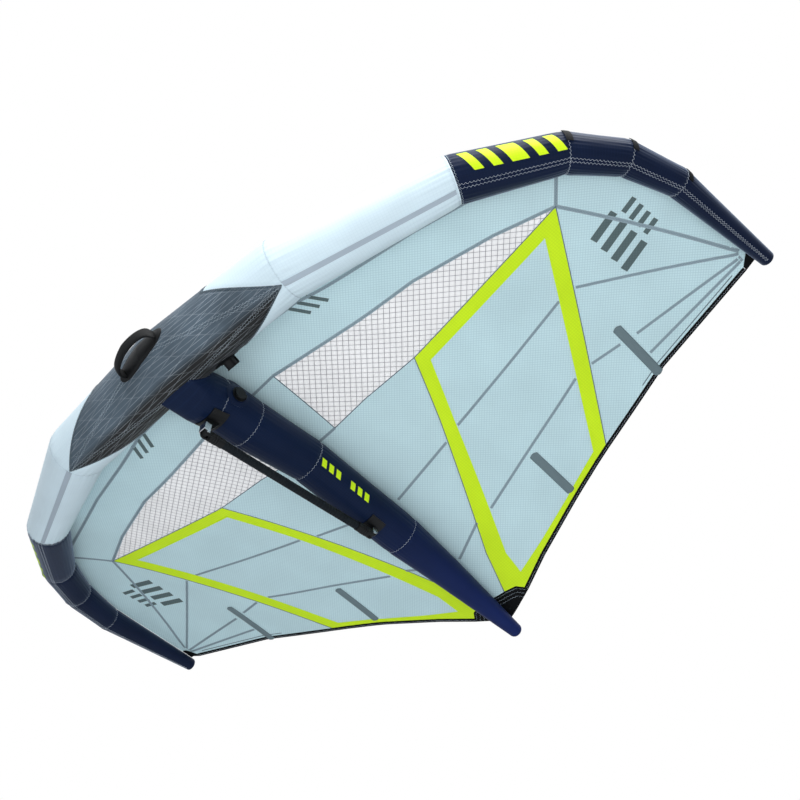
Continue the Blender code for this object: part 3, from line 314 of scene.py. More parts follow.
# %% Cloth finish
def linear(red, green, blue):
    """Colour numbers from 0 to 255, as on a screen, to Blender's."""
    shares = [value / 255 for value in (red, green, blue)]
    return tuple(s / 12.92 if s <= 0.04045 else ((s + 0.055) / 1.055) ** 2.4 for s in shares) + (1.0,)


def blend_colour(tree, mode, factor, first, second):
    node = add_node(tree, "ShaderNodeMix", data_type="RGBA", blend_type=mode)
    feed(tree, node.inputs[0], factor)
    feed(tree, node.inputs[6], first)
    feed(tree, node.inputs[7], second)
    return node.outputs[2]


def surface_bump(tree, shader, height, distance, strength):
    bump = add_node(tree, "ShaderNodeBump")
    bump.inputs["Distance"].default_value = distance
    bump.inputs["Strength"].default_value = strength
    tree.links.new(height, bump.inputs["Height"])
    tree.links.new(bump.outputs["Normal"], shader.inputs["Normal"])


def start_material(name, roughness, metallic=0.0):
    made = bpy.data.materials.new(name)
    made.use_nodes = True
    shader = made.node_tree.nodes["Principled BSDF"]
    shader.inputs["Roughness"].default_value = roughness
    shader.inputs["Metallic"].default_value = metallic
    return made, made.node_tree, shader


def cloth_place(tree, turn_degrees=0.0):
    """Place on the flat cloth in metres, on threads that run at an angle to it."""
    turned = add_node(tree, "ShaderNodeMapping")
    turned.inputs["Rotation"].default_value = (0.0, 0.0, math.radians(turn_degrees))
    tree.links.new(add_node(tree, "ShaderNodeUVMap", uv_map="cloth").outputs["UV"], turned.inputs["Vector"])
    return turned.outputs["Vector"]


def object_place(tree):
    return add_node(tree, "ShaderNodeTexCoord").outputs["Object"]


def colour_surface(tree, shader, body, place, scale, low, high):
    """Give a surface its colour with the soft patches of handling, and hand the patches back."""
    shade = use_group(tree, HANDLING, Vector=place, Scale=scale, Low=low, High=high)["Value"]
    tree.links.new(blend_colour(tree, "MULTIPLY", 1.0, body, shade), shader.inputs["Base Color"])
    return shade


WEAVE_PITCH = 0.0016
THREAD_HEIGHT = 0.0004
SHEEN_ROUGHNESS = 0.35
SHEEN_TINT = (0.62, 0.76, 1.0, 1.0)


def sailcloth(name, colour, line_colour, pitch, line, turn_degrees=0.0, roughness=0.5, line_strength=1.0,
              patch=(0.95, 1.04), weave_strength=0.25, shine=0.5, fade=None, sheen=0.0):
    """Woven cloth with a grid of thicker threads; fade is a second colour and where it starts and ends."""
    made, tree, shader = start_material(name, roughness)
    shader.inputs["Specular IOR Level"].default_value = shine
    shader.inputs["Sheen Weight"].default_value = sheen
    shader.inputs["Sheen Roughness"].default_value = SHEEN_ROUGHNESS
    shader.inputs["Sheen Tint"].default_value = SHEEN_TINT
    place = cloth_place(tree, turn_degrees)
    mask = use_group(tree, THREAD_GRID, Vector=place, Pitch=pitch, Line=line)["Mask"]
    mask = calc(tree, "MULTIPLY", mask, line_strength)
    ground = linear(*colour)
    if fade:
        far_colour, start, end = fade
        spot = add_node(tree, "ShaderNodeSeparateXYZ")
        tree.links.new(object_place(tree), spot.inputs[0])
        share = map_range(tree, spot.outputs["Y"], start, end)
        ground = blend_colour(tree, "MIX", share, ground, linear(*far_colour))
    body = blend_colour(tree, "MIX", mask, ground, linear(*line_colour))
    colour_surface(tree, shader, body, place, 5.0, *patch)
    height = use_group(tree, WEAVE, Vector=place, Pitch=WEAVE_PITCH)["Height"]
    raised = calc(tree, "ADD", calc(tree, "MULTIPLY", height, 0.5), mask)
    surface_bump(tree, shader, raised, THREAD_HEIGHT, weave_strength)
    return made


# Each set of pale threads in the dark cloth: its angle, its pitch and how bright it is.
LENS_THREADS = ((0.0, 0.0155, 0.6), (14.0, 0.031, 0.5), (-34.0, 0.062, 0.4))
LENS_THREAD_WIDTH = 0.0007
# Where the painted shade starts and ends, in metres round the tube: here the lit colour turns into the shaded
# one.
LENS_PAINTED_SHADE_START, LENS_PAINTED_SHADE_END = 0.505, 0.535


def lens_cloth():
    """Abrasion cloth: pale threads along the tube and a few on the bias, worn unevenly, with painted shade
    that makes it darker underneath.
    """
    made, tree, shader = start_material("dark_ripstop", 0.55)
    shader.inputs["Specular IOR Level"].default_value = 0.15
    place = cloth_place(tree)
    threads = 0.0
    for turn_degrees, pitch, strength in LENS_THREADS:
        one_way = add_node(tree, "ShaderNodeVectorMath", operation="MULTIPLY")
        tree.links.new(cloth_place(tree, turn_degrees), one_way.inputs[0])
        one_way.inputs[1].default_value = (0.0, 1.0, 0.0)
        mask = use_group(tree, THREAD_GRID, Vector=one_way.outputs["Vector"], Pitch=pitch,
                         Line=LENS_THREAD_WIDTH)["Mask"]
        threads = calc(tree, "MAXIMUM", calc(tree, "MULTIPLY", mask, strength), threads)
    worn = use_group(tree, HANDLING, Vector=place, Scale=11.0, Low=0.15, High=1.0)["Value"]
    threads = calc(tree, "MULTIPLY", threads, worn)
    # Painted shade: round the tube the cloth turns from a lit bluish grey to a shaded near-black on its lower
    # back, past the lens points.
    spot = add_node(tree, "ShaderNodeSeparateXYZ")
    tree.links.new(place, spot.inputs[0])
    share = map_range(tree, spot.outputs["Y"], LENS_PAINTED_SHADE_START, LENS_PAINTED_SHADE_END)
    ground = blend_colour(tree, "MIX", share, linear(80, 93, 104), linear(38, 39, 40))
    body = blend_colour(tree, "MIX", threads, ground, linear(205, 214, 222))
    colour_surface(tree, shader, body, place, 7.0, 0.75, 1.25)
    weave = use_group(tree, WEAVE, Vector=place, Pitch=WEAVE_PITCH)["Height"]
    raised = calc(tree, "ADD", calc(tree, "MULTIPLY", weave, 0.4), threads)
    surface_bump(tree, shader, raised, THREAD_HEIGHT, 0.2)
    return made


CLOTHS = {
    "dark_ripstop": lens_cloth(),
    "white_cloth": sailcloth("white_cloth", (210, 229, 238), (194, 215, 226), 0.010, 0.0010,
                             line_strength=0.35),
    "navy_cloth": sailcloth("navy_cloth", (11, 24, 50), (20, 36, 66), 0.009, 0.0010, line_strength=0.3,
                            patch=(0.88, 1.1), weave_strength=0.1, shine=0.12, sheen=0.5),
    "strut_cloth": sailcloth("strut_cloth", (10, 26, 54), (20, 38, 70), 0.009, 0.0010, line_strength=0.3,
                             patch=(0.88, 1.1), weave_strength=0.1, shine=0.12, sheen=0.04,
                             fade=((20, 36, 92), 0.30, 1.06)),
    "canopy_cloth": sailcloth("canopy_cloth", (200, 227, 232), (164, 196, 206), 0.0085, 0.0013, 45.0,
                              line_strength=0.6, shine=0.25),
    "lime_cloth": sailcloth("lime_cloth", (208, 243, 26), (184, 220, 20), 0.0085, 0.0012, line_strength=0.4,
                            shine=0.25),
    "pale_tape": sailcloth("pale_tape", (162, 176, 188), (170, 184, 196), 0.004, 0.0007, line_strength=0.5),
    "seam_tape": sailcloth("seam_tape", (146, 166, 176), (124, 146, 156), 0.004, 0.0007, line_strength=0.5),
    "print_grey": sailcloth("print_grey", (84, 104, 106), (74, 92, 94), 0.0085, 0.0013, 45.0),
    "batten_cloth": sailcloth("batten_cloth", (108, 128, 134), (88, 106, 112), 0.004, 0.0007, 45.0),
    "black_webbing": sailcloth("black_webbing", (5, 7, 9), (16, 18, 20), 0.0045, 0.0012, 45.0, 0.65,
                               shine=0.1),
}
print("cloths:", sorted(CLOTHS))

# %% Window film, bladder film and thread
def window_film(name, turn_degrees):
    """Clear laminate: two films with a thin dark scrim between them."""
    made, tree, shader = start_material(name, 0.22)
    place = cloth_place(tree, turn_degrees)
    bold = use_group(tree, THREAD_GRID, Vector=place, Pitch=0.0186, Line=0.0012)["Mask"]
    fine = use_group(tree, THREAD_GRID, Vector=place, Pitch=0.0093, Line=0.0006)["Mask"]
    scrim = calc(tree, "MAXIMUM", calc(tree, "MULTIPLY", bold, 0.85), calc(tree, "MULTIPLY", fine, 0.22))
    body = blend_colour(tree, "MIX", scrim, linear(250, 250, 251), linear(70, 72, 78))
    colour_surface(tree, shader, body, place, 7.0, 0.95, 1.04)
    tree.links.new(calc(tree, "ADD", calc(tree, "MULTIPLY", scrim, 0.45), 0.52), shader.inputs["Alpha"])
    surface_bump(tree, shader, scrim, 0.0003, 0.3)
    return made


def plain_film(name, colour, roughness):
    """Milky film with no threads in it."""
    made, tree, shader = start_material(name, roughness)
    shade = colour_surface(tree, shader, linear(*colour), object_place(tree), 9.0, 0.9, 1.05)
    surface_bump(tree, shader, shade, 0.001, 0.2)
    return made


def sewing_thread(name, colour):
    """Twisted thread: fine stripes across its run, on Object coordinates."""
    made, tree, shader = start_material(name, 0.6)
    twist = use_group(tree, WEAVE, Vector=object_place(tree), Pitch=0.0012)["Height"]
    shade = calc(tree, "ADD", calc(tree, "MULTIPLY", twist, 0.12), 0.95)
    tree.links.new(blend_colour(tree, "MULTIPLY", 1.0, linear(*colour), shade), shader.inputs["Base Color"])
    surface_bump(tree, shader, twist, 0.0002, 0.4)
    return made


CLOTHS["window_film"] = window_film("window_film", 45.0)
CLOTHS["window_film_left"] = window_film("window_film_left", 30.0)
CLOTHS["bladder_film"] = plain_film("bladder_film", (214, 212, 200), 0.3)
THREADS = {
    "white_thread": sewing_thread("white_thread", (214, 224, 236)),
    "grey_thread": sewing_thread("grey_thread", (96, 112, 122)),
    "pale_thread": sewing_thread("pale_thread", (186, 202, 212)),
}
print("cloths and films:", len(CLOTHS), "threads:", len(THREADS))

# %% Moulded, foam and metal finishes
BOOM_LINE = (0.0, 0.994522, 0.104529)
RING_PITCH = 0.012


def hard_finish(name, colour, roughness, metallic=0.0, grain_scale=900.0, patch=(0.85, 1.15)):
    """Colour and shine with handled patches, and a fine grain to add to the surface."""
    made, tree, shader = start_material(name, roughness, metallic)
    shader.inputs["Specular IOR Level"].default_value = 0.3
    place = object_place(tree)
    shade = colour_surface(tree, shader, linear(*colour), place, 22.0, *patch)
    tree.links.new(calc(tree, "MULTIPLY", shade, roughness), shader.inputs["Roughness"])
    grain = add_node(tree, "ShaderNodeTexNoise")
    grain.inputs["Scale"].default_value = grain_scale
    grain.inputs["Detail"].default_value = 2.0
    tree.links.new(place, grain.inputs["Vector"])
    return made, tree, shader, grain.outputs["Fac"], place


def moulding(name, colour, roughness):
    """Spark-eroded plastic."""
    made, tree, shader, grain, _ = hard_finish(name, colour, roughness)
    surface_bump(tree, shader, grain, 0.0003, 0.5)
    return made


def ringed_foam():
    """Closed-cell foam with shallow rings turned into it across the boom."""
    made, tree, shader, grain, place = hard_finish("grip_foam", (13, 20, 26), 0.78)
    along = add_node(tree, "ShaderNodeVectorMath", operation="DOT_PRODUCT")
    tree.links.new(place, along.inputs[0])
    along.inputs[1].default_value = BOOM_LINE
    ring = calc(tree, "SINE", calc(tree, "MULTIPLY", along.outputs["Value"], math.tau / RING_PITCH))
    surface_bump(tree, shader, calc(tree, "ADD", ring, calc(tree, "MULTIPLY", grain, 0.5)), 0.0008, 0.7)
    return made


def brushed_metal(name, colour, roughness):
    """Metal with fine marks that run one way."""
    made, tree, shader, grain, place = hard_finish(name, colour, roughness, 1.0, 60.0, (0.9, 1.06))
    stretched = add_node(tree, "ShaderNodeMapping")
    stretched.inputs["Scale"].default_value = (40.0, 1.0, 8.0)
    tree.links.new(place, stretched.inputs["Vector"])
    tree.links.new(stretched.outputs["Vector"], grain.node.inputs["Vector"])
    surface_bump(tree, shader, grain, 0.0002, 0.35)
    return made


HARD = {
    "moulded_black": moulding("moulded_black", (12, 14, 16), 0.5),
    "grip_foam": ringed_foam(),
    "boom_alloy": brushed_metal("boom_alloy", (92, 95, 101), 0.34),
    "steel": brushed_metal("steel", (214, 217, 221), 0.26),
    "strap": sailcloth("strap", (11, 13, 15), (26, 28, 31), 0.0040, 0.0010, 45.0, 0.7, shine=0.25),
}
finished = 0
for row in frame["record"]["subparts"]:
    if row["material_slot"] in HARD:
        for holder in frame["nodes"][row["node"]].material_slots:
            holder.material = HARD[row["material_slot"]]
        finished += 1
print("packed solids with a new finish:", finished)

# %% [markdown]
# ## Soft tubes
#
# The leading edge and the strut are cloth tubes held round by a bladder. A real one is sewn from
# straight tapered lengths, mitred like stove pipe, so the run kinks at each ring seam and is straight
# between. The tube is therefore a list of stations with a centre and a radius, and a skin point is
# read between two of them. Near a seam the cloth is drawn in and puckers, which one small sum adds.

# %% Tube helper
class SoftTube:
    """A run of stations; each has a centre, a radius and the directions along, across and up."""

    def __init__(self, centres, radii, across_of):
        self.centres = np.array(centres) + TAIL
        self.radii = np.array(radii)
        runs = np.diff(self.centres, axis=0)
        self.lengths = np.linalg.norm(runs, axis=1)
        runs = runs / self.lengths[:, None]
        along = [runs[0]] + [a + b for a, b in zip(runs, runs[1:])] + [runs[-1]]
        self.along = np.array([v / np.linalg.norm(v) for v in along])
        self.across = np.array([across_of(v) for v in self.along])
        crossed = np.cross(self.along, self.across)
        self.up = crossed * np.where(crossed[:, 2:] > 0, 1, -1)

    def square_first(self):
        """The first station lies in the plane of symmetry."""
        self.along[0] = (1, 0, 0)
        self.across[0] = (0, 1, 0)
        self.up[0] = (0, 0, 1)
        return self

    def skin(self, station, degrees, lift=0.0):
        """Points of the skin, and how far along the tube they lie."""
        station, degrees, lift = np.broadcast_arrays(station, degrees, lift)
        low = np.clip(station.astype(int), 0, len(self.radii) - 2)
        share = (station - low)[..., None]
        turn = np.radians(degrees)[..., None]
        ends = []
        for index in (low, low + 1):
            ray = np.cos(turn) * self.across[index] + np.sin(turn) * self.up[index]
            ends.append(self.centres[index] + ray * (self.radii[index] + lift)[..., None])
        run = np.concatenate(([0.0], np.cumsum(self.lengths)))
        return ends[0] * (1 - share) + ends[1] * share, run[low] + share[..., 0] * self.lengths[low]


def level_across(along):
    """The level direction square to a run."""
    flat = np.array((-along[1], along[0], 0.0))
    return flat / np.linalg.norm(flat)


HALF_SPAN, CHORD, TIP_RISE = 1.45, 1.59, 0.408
LEADING_RADIUS, STRUT_RADIUS = 0.111, 0.085
LEADING_SHARES = np.array([
    (0.0, 1.0, 0.15, 1.0), (0.348, 0.983, 0.186, 0.883), (0.692, 0.865, 0.515, 0.676),
    (0.868, 0.740, 0.750, 0.568), (0.942, 0.642, 0.846, 0.505), (0.980, 0.526, 0.904, 0.423),
    (0.998, 0.252, 1.0, 0.225),
])
STRUT_SHARES = np.array([
    (0.937, 0.029, 0.988), (0.862, 0.113, 1.0), (0.797, 0.123, 0.976), (0.637, 0.203, 0.871),
    (0.363, 0.125, 0.847), (0.218, 0.078, 0.635), (0.0, -0.022, 0.294),
])
LEADING = SoftTube(
    LEADING_SHARES[:, :3] * (HALF_SPAN, -CHORD, TIP_RISE), LEADING_SHARES[:, 3] * LEADING_RADIUS, level_across
).square_first()
STRUT = SoftTube(
    np.column_stack((0 * STRUT_SHARES[:, 0], STRUT_SHARES[:, 0] * -CHORD, STRUT_SHARES[:, 1] * TIP_RISE)),
    STRUT_SHARES[:, 2] * STRUT_RADIUS, lambda along: np.array((1.0, 0.0, 0.0)),
)
for label, tube in (("half leading edge", LEADING), ("strut", STRUT)):
    print(label, "runs", round(float(tube.lengths.sum()), 3), "m")


# %% Mesh helpers
WELD_GAP = 0.00002


def lay_uv(mesh, uv):
    """Lay a mesh out flat, by one pair of metres for each point."""
    corners = np.zeros(len(mesh.loops), dtype=int)
    mesh.loops.foreach_get("vertex_index", corners)
    mesh.uv_layers.new(name="cloth").data.foreach_set("uv", np.asarray(uv, float)[corners].ravel())


def mesh_piece(name, points, faces, material, uv=None, smooth=True):
    """A new object at the origin; uv has one pair of metres for each point."""
    mesh = bpy.data.meshes.new(name)
    mesh.from_pydata([tuple(map(float, p)) for p in points], [], [tuple(map(int, f)) for f in faces])
    if uv is not None:
        lay_uv(mesh, uv)
    if smooth:
        mesh.shade_smooth()
    mesh.materials.append(material)
    return add_object(name, mesh)


def edit_mesh(piece, *steps):
    """Open a piece's mesh, do the steps on it and write it back."""
    work = bmesh.new()
    work.from_mesh(piece.data)
    for step in steps:
        step(work)
    work.to_mesh(piece.data)
    work.free()


def weld(work):
    bmesh.ops.remove_doubles(work, verts=work.verts, dist=WELD_GAP)


def turn_out(work):
    bmesh.ops.recalc_face_normals(work, faces=work.faces)


def sharpen_borders(work):
    for edge in work.edges:
        edge.smooth = not edge.is_boundary


def grid_faces(rows, columns, closed=False):
    """Faces of a grid of points; a closed grid's last column meets its first."""
    faces = []
    for row in range(rows - 1):
        for column in range(columns if closed else columns - 1):
            after = (column + 1) % columns
            faces.append((row * columns + column, row * columns + after,
                          (row + 1) * columns + after, (row + 1) * columns + column))
    return faces


def face_away(piece, middle):
    """Turn the faces of an open skin so that they look away from a place."""
    mesh = piece.data
    if sum(face.normal.dot(face.center - middle) * face.area for face in mesh.polygons) < 0:
        mesh.flip_normals()


def thicken(piece, thickness, offset=-1.0):
    """Give an open skin its thickness; its borders stay crisp, so that seams shade cleanly."""
    edit_mesh(piece, sharpen_borders)
    change = piece.modifiers.new("cloth thickness", "SOLIDIFY")
    change.thickness = thickness
    change.offset = offset
    change.use_even_offset = True
    return piece


SHEETS = []

# A cloth's box is narrowed where needed, so that the cloth fills at least this share of it.
LEAST_FILL = 0.31


def on_wing(piece):
    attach(piece, "wing")


def declare_cloth(piece, flat=None):
    """Note this cloth, how large it was cut and its area in the list of sheets, and fix it to the wing."""
    area = None
    if flat is None:
        area = sum(face.area for face in piece.data.polygons)
        layer = piece.data.uv_layers["cloth"]
        pairs = np.zeros(len(layer.data) * 2)
        layer.data.foreach_get("uv", pairs)
        width, length = sorted(np.ptp(pairs.reshape(-1, 2), axis=0))
        flat = (max(min(width, area / LEAST_FILL / length), area / length), length)
    on_wing(piece)
    SHEETS.append((piece.name, flat, area or flat[0] * flat[1]))


# %% [markdown]
# ## Sleeves of the leading edge
#
# The dark middle is a lens of stiffer cloth whose two points lie on the lower front of the tube,
# where hands and the board rub. Its edge is one rule: the further round from the point, the sooner
# it ends. The white cloth starts on the same rule, so the two always meet. A grid of points between
# two edges makes each sleeve, and Solidify gives the cloth its thickness inwards.

# %% Sleeve builder
SIDES = 120
ROUND = np.arange(SIDES) * 360.0 / SIDES
SLEEVE_THICKNESS = 0.0007
LENS_POINT, LENS_LEAST = 0.998, 0.53
LENS_POINT_DEGREES = -92
LENS_SLOPE_UP, LENS_SLOPE_DOWN = 0.64, 0.47
SEAM_DRAW, SEAM_DRAW_WIDTH = 0.0022, 0.010
LENS_DRAW = 0.0018
FOLD_HEIGHT, FOLD_REACH = 0.0009, 0.055


def lens_edge(degrees):
    """Station at which the dark middle ends, for an angle round the tube."""
    away = (np.asarray(degrees) - LENS_POINT_DEGREES + 180) % 360 - 180
    slope = np.where(away > 0, LENS_SLOPE_UP, LENS_SLOPE_DOWN)
    return np.maximum(LENS_POINT - slope * np.abs(away) / 90, LENS_LEAST)


def draw_in(away, depth):
    """A groove of a given depth where away is nothing."""
    return depth * np.exp(-((away / SEAM_DRAW_WIDTH) ** 2))


def pucker(tube, station, degrees, seams):
    """Drawn-in seams, with small folds that die away from them."""
    lift = np.zeros(np.broadcast(station, degrees).shape)
    for seam in seams:
        low = min(int(seam), len(tube.lengths) - 1)
        away = np.abs(station - seam) * tube.lengths[low]
        turn = np.radians(degrees)
        folds = np.cos(turn * 31 + seam * 5) + 0.6 * np.cos(turn * 17 + seam * 3)
        lift = lift - draw_in(away, SEAM_DRAW) + FOLD_HEIGHT * folds * np.exp(-away / FOLD_REACH)
    return lift


def lens_draw(station, degrees):
    """The groove along the edge of the dark middle."""
    return draw_in(np.abs(station - lens_edge(degrees)) * LEADING.lengths[0], LENS_DRAW)


def nearest_middle(tube, point):
    """The spot on a tube's middle line nearest to a point; both halves of the wing share one line."""
    place = np.array((abs(point.x), point.y, point.z))
    starts = tube.centres[:-1]
    runs = np.diff(tube.centres, axis=0)
    shares = np.clip(((place - starts) * runs).sum(1) / (runs ** 2).sum(1), 0, 1)
    spots = starts + runs * shares[:, None]
    spot = spots[np.argmin(np.linalg.norm(spots - place, axis=1))]
    return Vector((math.copysign(spot[0], point.x), spot[1], spot[2]))


def wrap_sleeve(name, tube, points, along, cloth, node):
    """Close a grid of points round a tube into a sleeve; along is each point's way along the tube."""
    girth_radius = float(tube.radii.max())
    uv = np.stack((along, np.broadcast_to(np.radians(ROUND) * girth_radius, along.shape)), -1)
    one_turn_on = uv[:, :1] + (0.0, math.tau * girth_radius)
    points = np.concatenate((points, points[:, :1]), axis=1)
    uv = np.concatenate((uv, one_turn_on), axis=1)
    faces = grid_faces(len(points), SIDES + 1)
    made = mesh_piece(name, points.reshape(-1, 3), faces, CLOTHS[cloth], uv.reshape(-1, 2))
    edit_mesh(made, weld, turn_out)
    sample = made.data.polygons[len(made.data.polygons) // 2]
    if sample.normal.dot(sample.center - nearest_middle(tube, sample.center)) < 0:
        made.data.flip_normals()
    thicken(made, SLEEVE_THICKNESS)
    declare_cloth(made)
    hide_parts(node)


def sleeve(name, tube, side, start, end, rows, seams, cloth, node):
    """A cloth tube between two stations; without a start it begins at the edge of the dark middle."""
    first = lens_edge(ROUND) if start is None else np.full(SIDES, float(start))
    share = np.linspace(0, 1, rows)[:, None]
    station = first * (1 - share) + float(end) * share
    degrees = np.broadcast_to(ROUND, station.shape)
    lift = pucker(tube, station, degrees, seams)
    if start is None:
        lift = lift - lens_draw(station, degrees)
    points, along = tube.skin(station, degrees, lift)
    wrap_sleeve(name, tube, points * (side, 1, 1), along, cloth, node)


# %% Leading edge, middle to tips
CENTRE_ROWS = 97


def centre_sleeve():
    """The dark middle runs from lens edge to lens edge through the plane of symmetry."""
    share = np.linspace(-1, 1, CENTRE_ROWS)[:, None]
    station = np.abs(share) * lens_edge(ROUND)
    degrees = np.broadcast_to(ROUND, station.shape)
    points, along = LEADING.skin(station, degrees, -lens_draw(station, degrees))
    sign = np.where(share < 0, -1.0, 1.0)
    points[..., 0] *= sign
    wrap_sleeve("leading_edge_centre_cloth", LEADING, points, along * sign, "dark_ripstop",
                "leading_edge_centre")


centre_sleeve()
WORDS = ((1, "right"), (-1, "left"))
for side, word in WORDS:
    sleeve(f"leading_edge_white_cloth_{word}", LEADING, side, None, 2, 90, (1, 2),
           "white_cloth", f"leading_edge_white_{word}")
    for number, rows in ((1, 40), (2, 26), (3, 26)):
        sleeve(f"leading_edge_tip_cloth_{number}_{word}", LEADING, side, number + 1, number + 2, rows,
               (number + 1, number + 2), "navy_cloth", f"leading_edge_tip_{number}_{word}")
print("leading edge sleeves:", len(SHEETS))


# %% Closed ends of the tubes
DOME_DEGREES = (12, 25, 38, 50, 62, 74, 83, 90)
TIP_DOME, STRUT_DOME = 0.011, 0.020


def dome_rings(tube, around, radius, dome, lifts):
    """Rings that close a tube's far end in a low dome."""
    turn = np.radians(around)[:, None]
    ray = np.cos(turn) * tube.across[-1] + np.sin(turn) * tube.up[-1]
    lift = np.radians(lifts)[:, None, None]
    return tube.centres[-1] + ray * radius * np.cos(lift) + tube.along[-1] * dome * np.sin(lift)


def end_sleeve(name, tube, side, start, dome, rows, cloth, node):
    """A last sleeve, from a station to the tube's closed end."""
    last = len(tube.radii) - 1
    station = np.linspace(start, last, rows)[:, None]
    degrees = np.broadcast_to(ROUND, (rows, SIDES))
    points, along = tube.skin(station, degrees, pucker(tube, station, degrees, (start,)))
    rings = dome_rings(tube, ROUND, tube.radii[-1], dome, DOME_DEGREES)
    over_dome = along[-1, 0] + tube.radii[-1] * np.radians(DOME_DEGREES)[:, None] * np.ones((1, SIDES))
    wrap_sleeve(name, tube, np.concatenate((points, rings)) * (side, 1, 1),
                np.concatenate((along, over_dome)), cloth, node)


for side, word in WORDS:
    end_sleeve(f"leading_edge_tip_cloth_4_{word}", LEADING, side, 5, TIP_DOME, 60, "navy_cloth",
               f"leading_edge_tip_4_{word}")
end_sleeve("strut_tail_cloth", STRUT, 1, 4, STRUT_DOME, 70, "strut_cloth", "strut_tail")

# %% [markdown]
# ## Sleeves of the strut
#
# The strut is one more tube, and its front end is cut to sit on the leading edge: each point of the
# end is pushed back to where it meets the round of the big tube. Cutting the mesh with a Boolean
# would work too, but moving the last ring keeps the cloth's grid whole.

# %% Strut
STRUT_SEAMS = (0.72, 2, 3, 4)
SEAT_GAP = 0.0004
SEAT_DEPTH = 0.9
SHOULDER = 0.25
SEAT_ROWS, FRONT_ROWS = 11, 60


def strut_front_ring():
    """The strut's first ring, pushed back to where each point meets the leading edge."""
    points, _ = STRUT.skin(0.0, ROUND)
    share = np.abs(points[:, 0]) / LEADING.centres[1][0]
    centre = LEADING.centres[0] * (1 - share[:, None]) + LEADING.centres[1] * share[:, None]
    radius = LEADING.radii[0] * (1 - share) + LEADING.radii[1] * share
    height = np.maximum(points[:, 2], centre[:, 2] - radius * SEAT_DEPTH)
    reach = np.sqrt((radius + SEAT_GAP) ** 2 - (height - centre[:, 2]) ** 2)
    return np.stack((points[:, 0], centre[:, 1] + reach, height), -1)


def strut_front_sleeve():
    """From the ring on the leading edge to the round tube, and on to the next seam."""
    shoulder, _ = STRUT.skin(SHOULDER, ROUND)
    share = np.linspace(0, 1, SEAT_ROWS + 1)[:-1, None, None]
    blend = strut_front_ring() * (1 - share) + shoulder * share
    station = np.linspace(SHOULDER, 2, FRONT_ROWS)[:, None]
    degrees = np.broadcast_to(ROUND, (FRONT_ROWS, SIDES))
    points, along = STRUT.skin(station, degrees, pucker(STRUT, station, degrees, STRUT_SEAMS))
    lead = share[..., 0] * along[0, 0] * np.ones((1, SIDES))
    wrap_sleeve("strut_front_cloth", STRUT, np.concatenate((blend, points)), np.concatenate((lead, along)),
                "strut_cloth", "strut_front")


strut_front_sleeve()
for word, start in (("front", 2), ("rear", 3)):
    sleeve(f"strut_mid_{word}_cloth", STRUT, 1, start, start + 1, 44, (start, start + 1), "strut_cloth",
           f"strut_mid_{word}")
print("sleeves in all:", len(SHEETS))

# %% [markdown]
# ## Bladders
#
# Inside each sleeve is an air-tight bladder a little smaller than the cloth. It never shows, but a
# wing cut open in a render should not be empty, so both are made from the same tubes with a small
# gap all round.

# %% Bladders
BLADDER_GAP = 0.0045
BLADDER_THICKNESS = 0.0006
BLADDER_ROUND = ROUND[::4]
BLADDER_DOME_DEGREES = (30, 58, 80, 90)
NOSE_RINGS = ((0.0, 0.011), (0.5, 0.010), (0.85, 0.006))


def bladder(name, tube, stations, dome, node, mirrored):
    """A closed film inside a tube: mirrored to the other half, or with a low nose of its own."""
    points, _ = tube.skin(stations[:, None], BLADDER_ROUND, -BLADDER_GAP)
    end_radius, end_rise = tube.radii[-1] - BLADDER_GAP, dome - BLADDER_GAP
    end = dome_rings(tube, BLADDER_ROUND, end_radius, end_rise, BLADDER_DOME_DEGREES)
    rings = np.concatenate((points, end))
    if mirrored:
        rings = np.concatenate(((rings * (-1, 1, 1))[:0:-1], rings))
    else:
        middle = points[0].mean(0)
        nose = [middle + (points[0] - middle) * share - tube.along[0] * back for share, back in NOSE_RINGS]
        rings = np.concatenate((nose, rings))
    faces = grid_faces(len(rings), len(BLADDER_ROUND), closed=True)
    made = mesh_piece(name, rings.reshape(-1, 3), faces, CLOTHS["bladder_film"])
    edit_mesh(made, weld, turn_out)
    thicken(made, BLADDER_THICKNESS)
    on_wing(made)
    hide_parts(node)


bladder("leading_edge_bladder_film", LEADING, np.linspace(0, 6, 73), TIP_DOME, "leading_edge_bladder", True)
bladder("strut_bladder_film", STRUT, np.linspace(0.35, 6, 60), STRUT_DOME, "strut_bladder", False)
print("bladders: 2")

# %% [markdown]
# ## The canopy's surface
#
# All panels of the canopy lie on one taut surface: straight from the leading edge to the trailing
# edge, bowed up by the wind in between, and rising towards the tips. A function of two numbers gives
# its height, so a panel, a seam and a stitch that share a place also share a height. The kinks of
# the front edge are averaged over a hand's width, because cloth carries them on as a soft bend.

# %% Surface
CAMBER = 0.060
ATTACH = 50.0
PANEL_DEPTH, EDGE_GAP = 0.001, 0.0003
SOFTEN = ((-0.045, 0.15), (-0.022, 0.2), (0.0, 0.3), (0.022, 0.2), (0.045, 0.15))
SOFTEN_END, SOFTEN_FADE, SOFTEN_FORE = 1.36, 0.1, 8


def cloth_edge(station):
    """Where the canopy's upper face meets the tube."""
    points, _ = LEADING.skin(np.array(float(station)), ATTACH)
    index = min(int(station), len(LEADING.lengths) - 1)
    share = station - index
    inward = LEADING.across[index] * (1 - share) + LEADING.across[index + 1] * share
    lean = math.radians(ATTACH)
    return points + inward * (PANEL_DEPTH * math.sin(lean) + EDGE_GAP) / math.cos(lean)


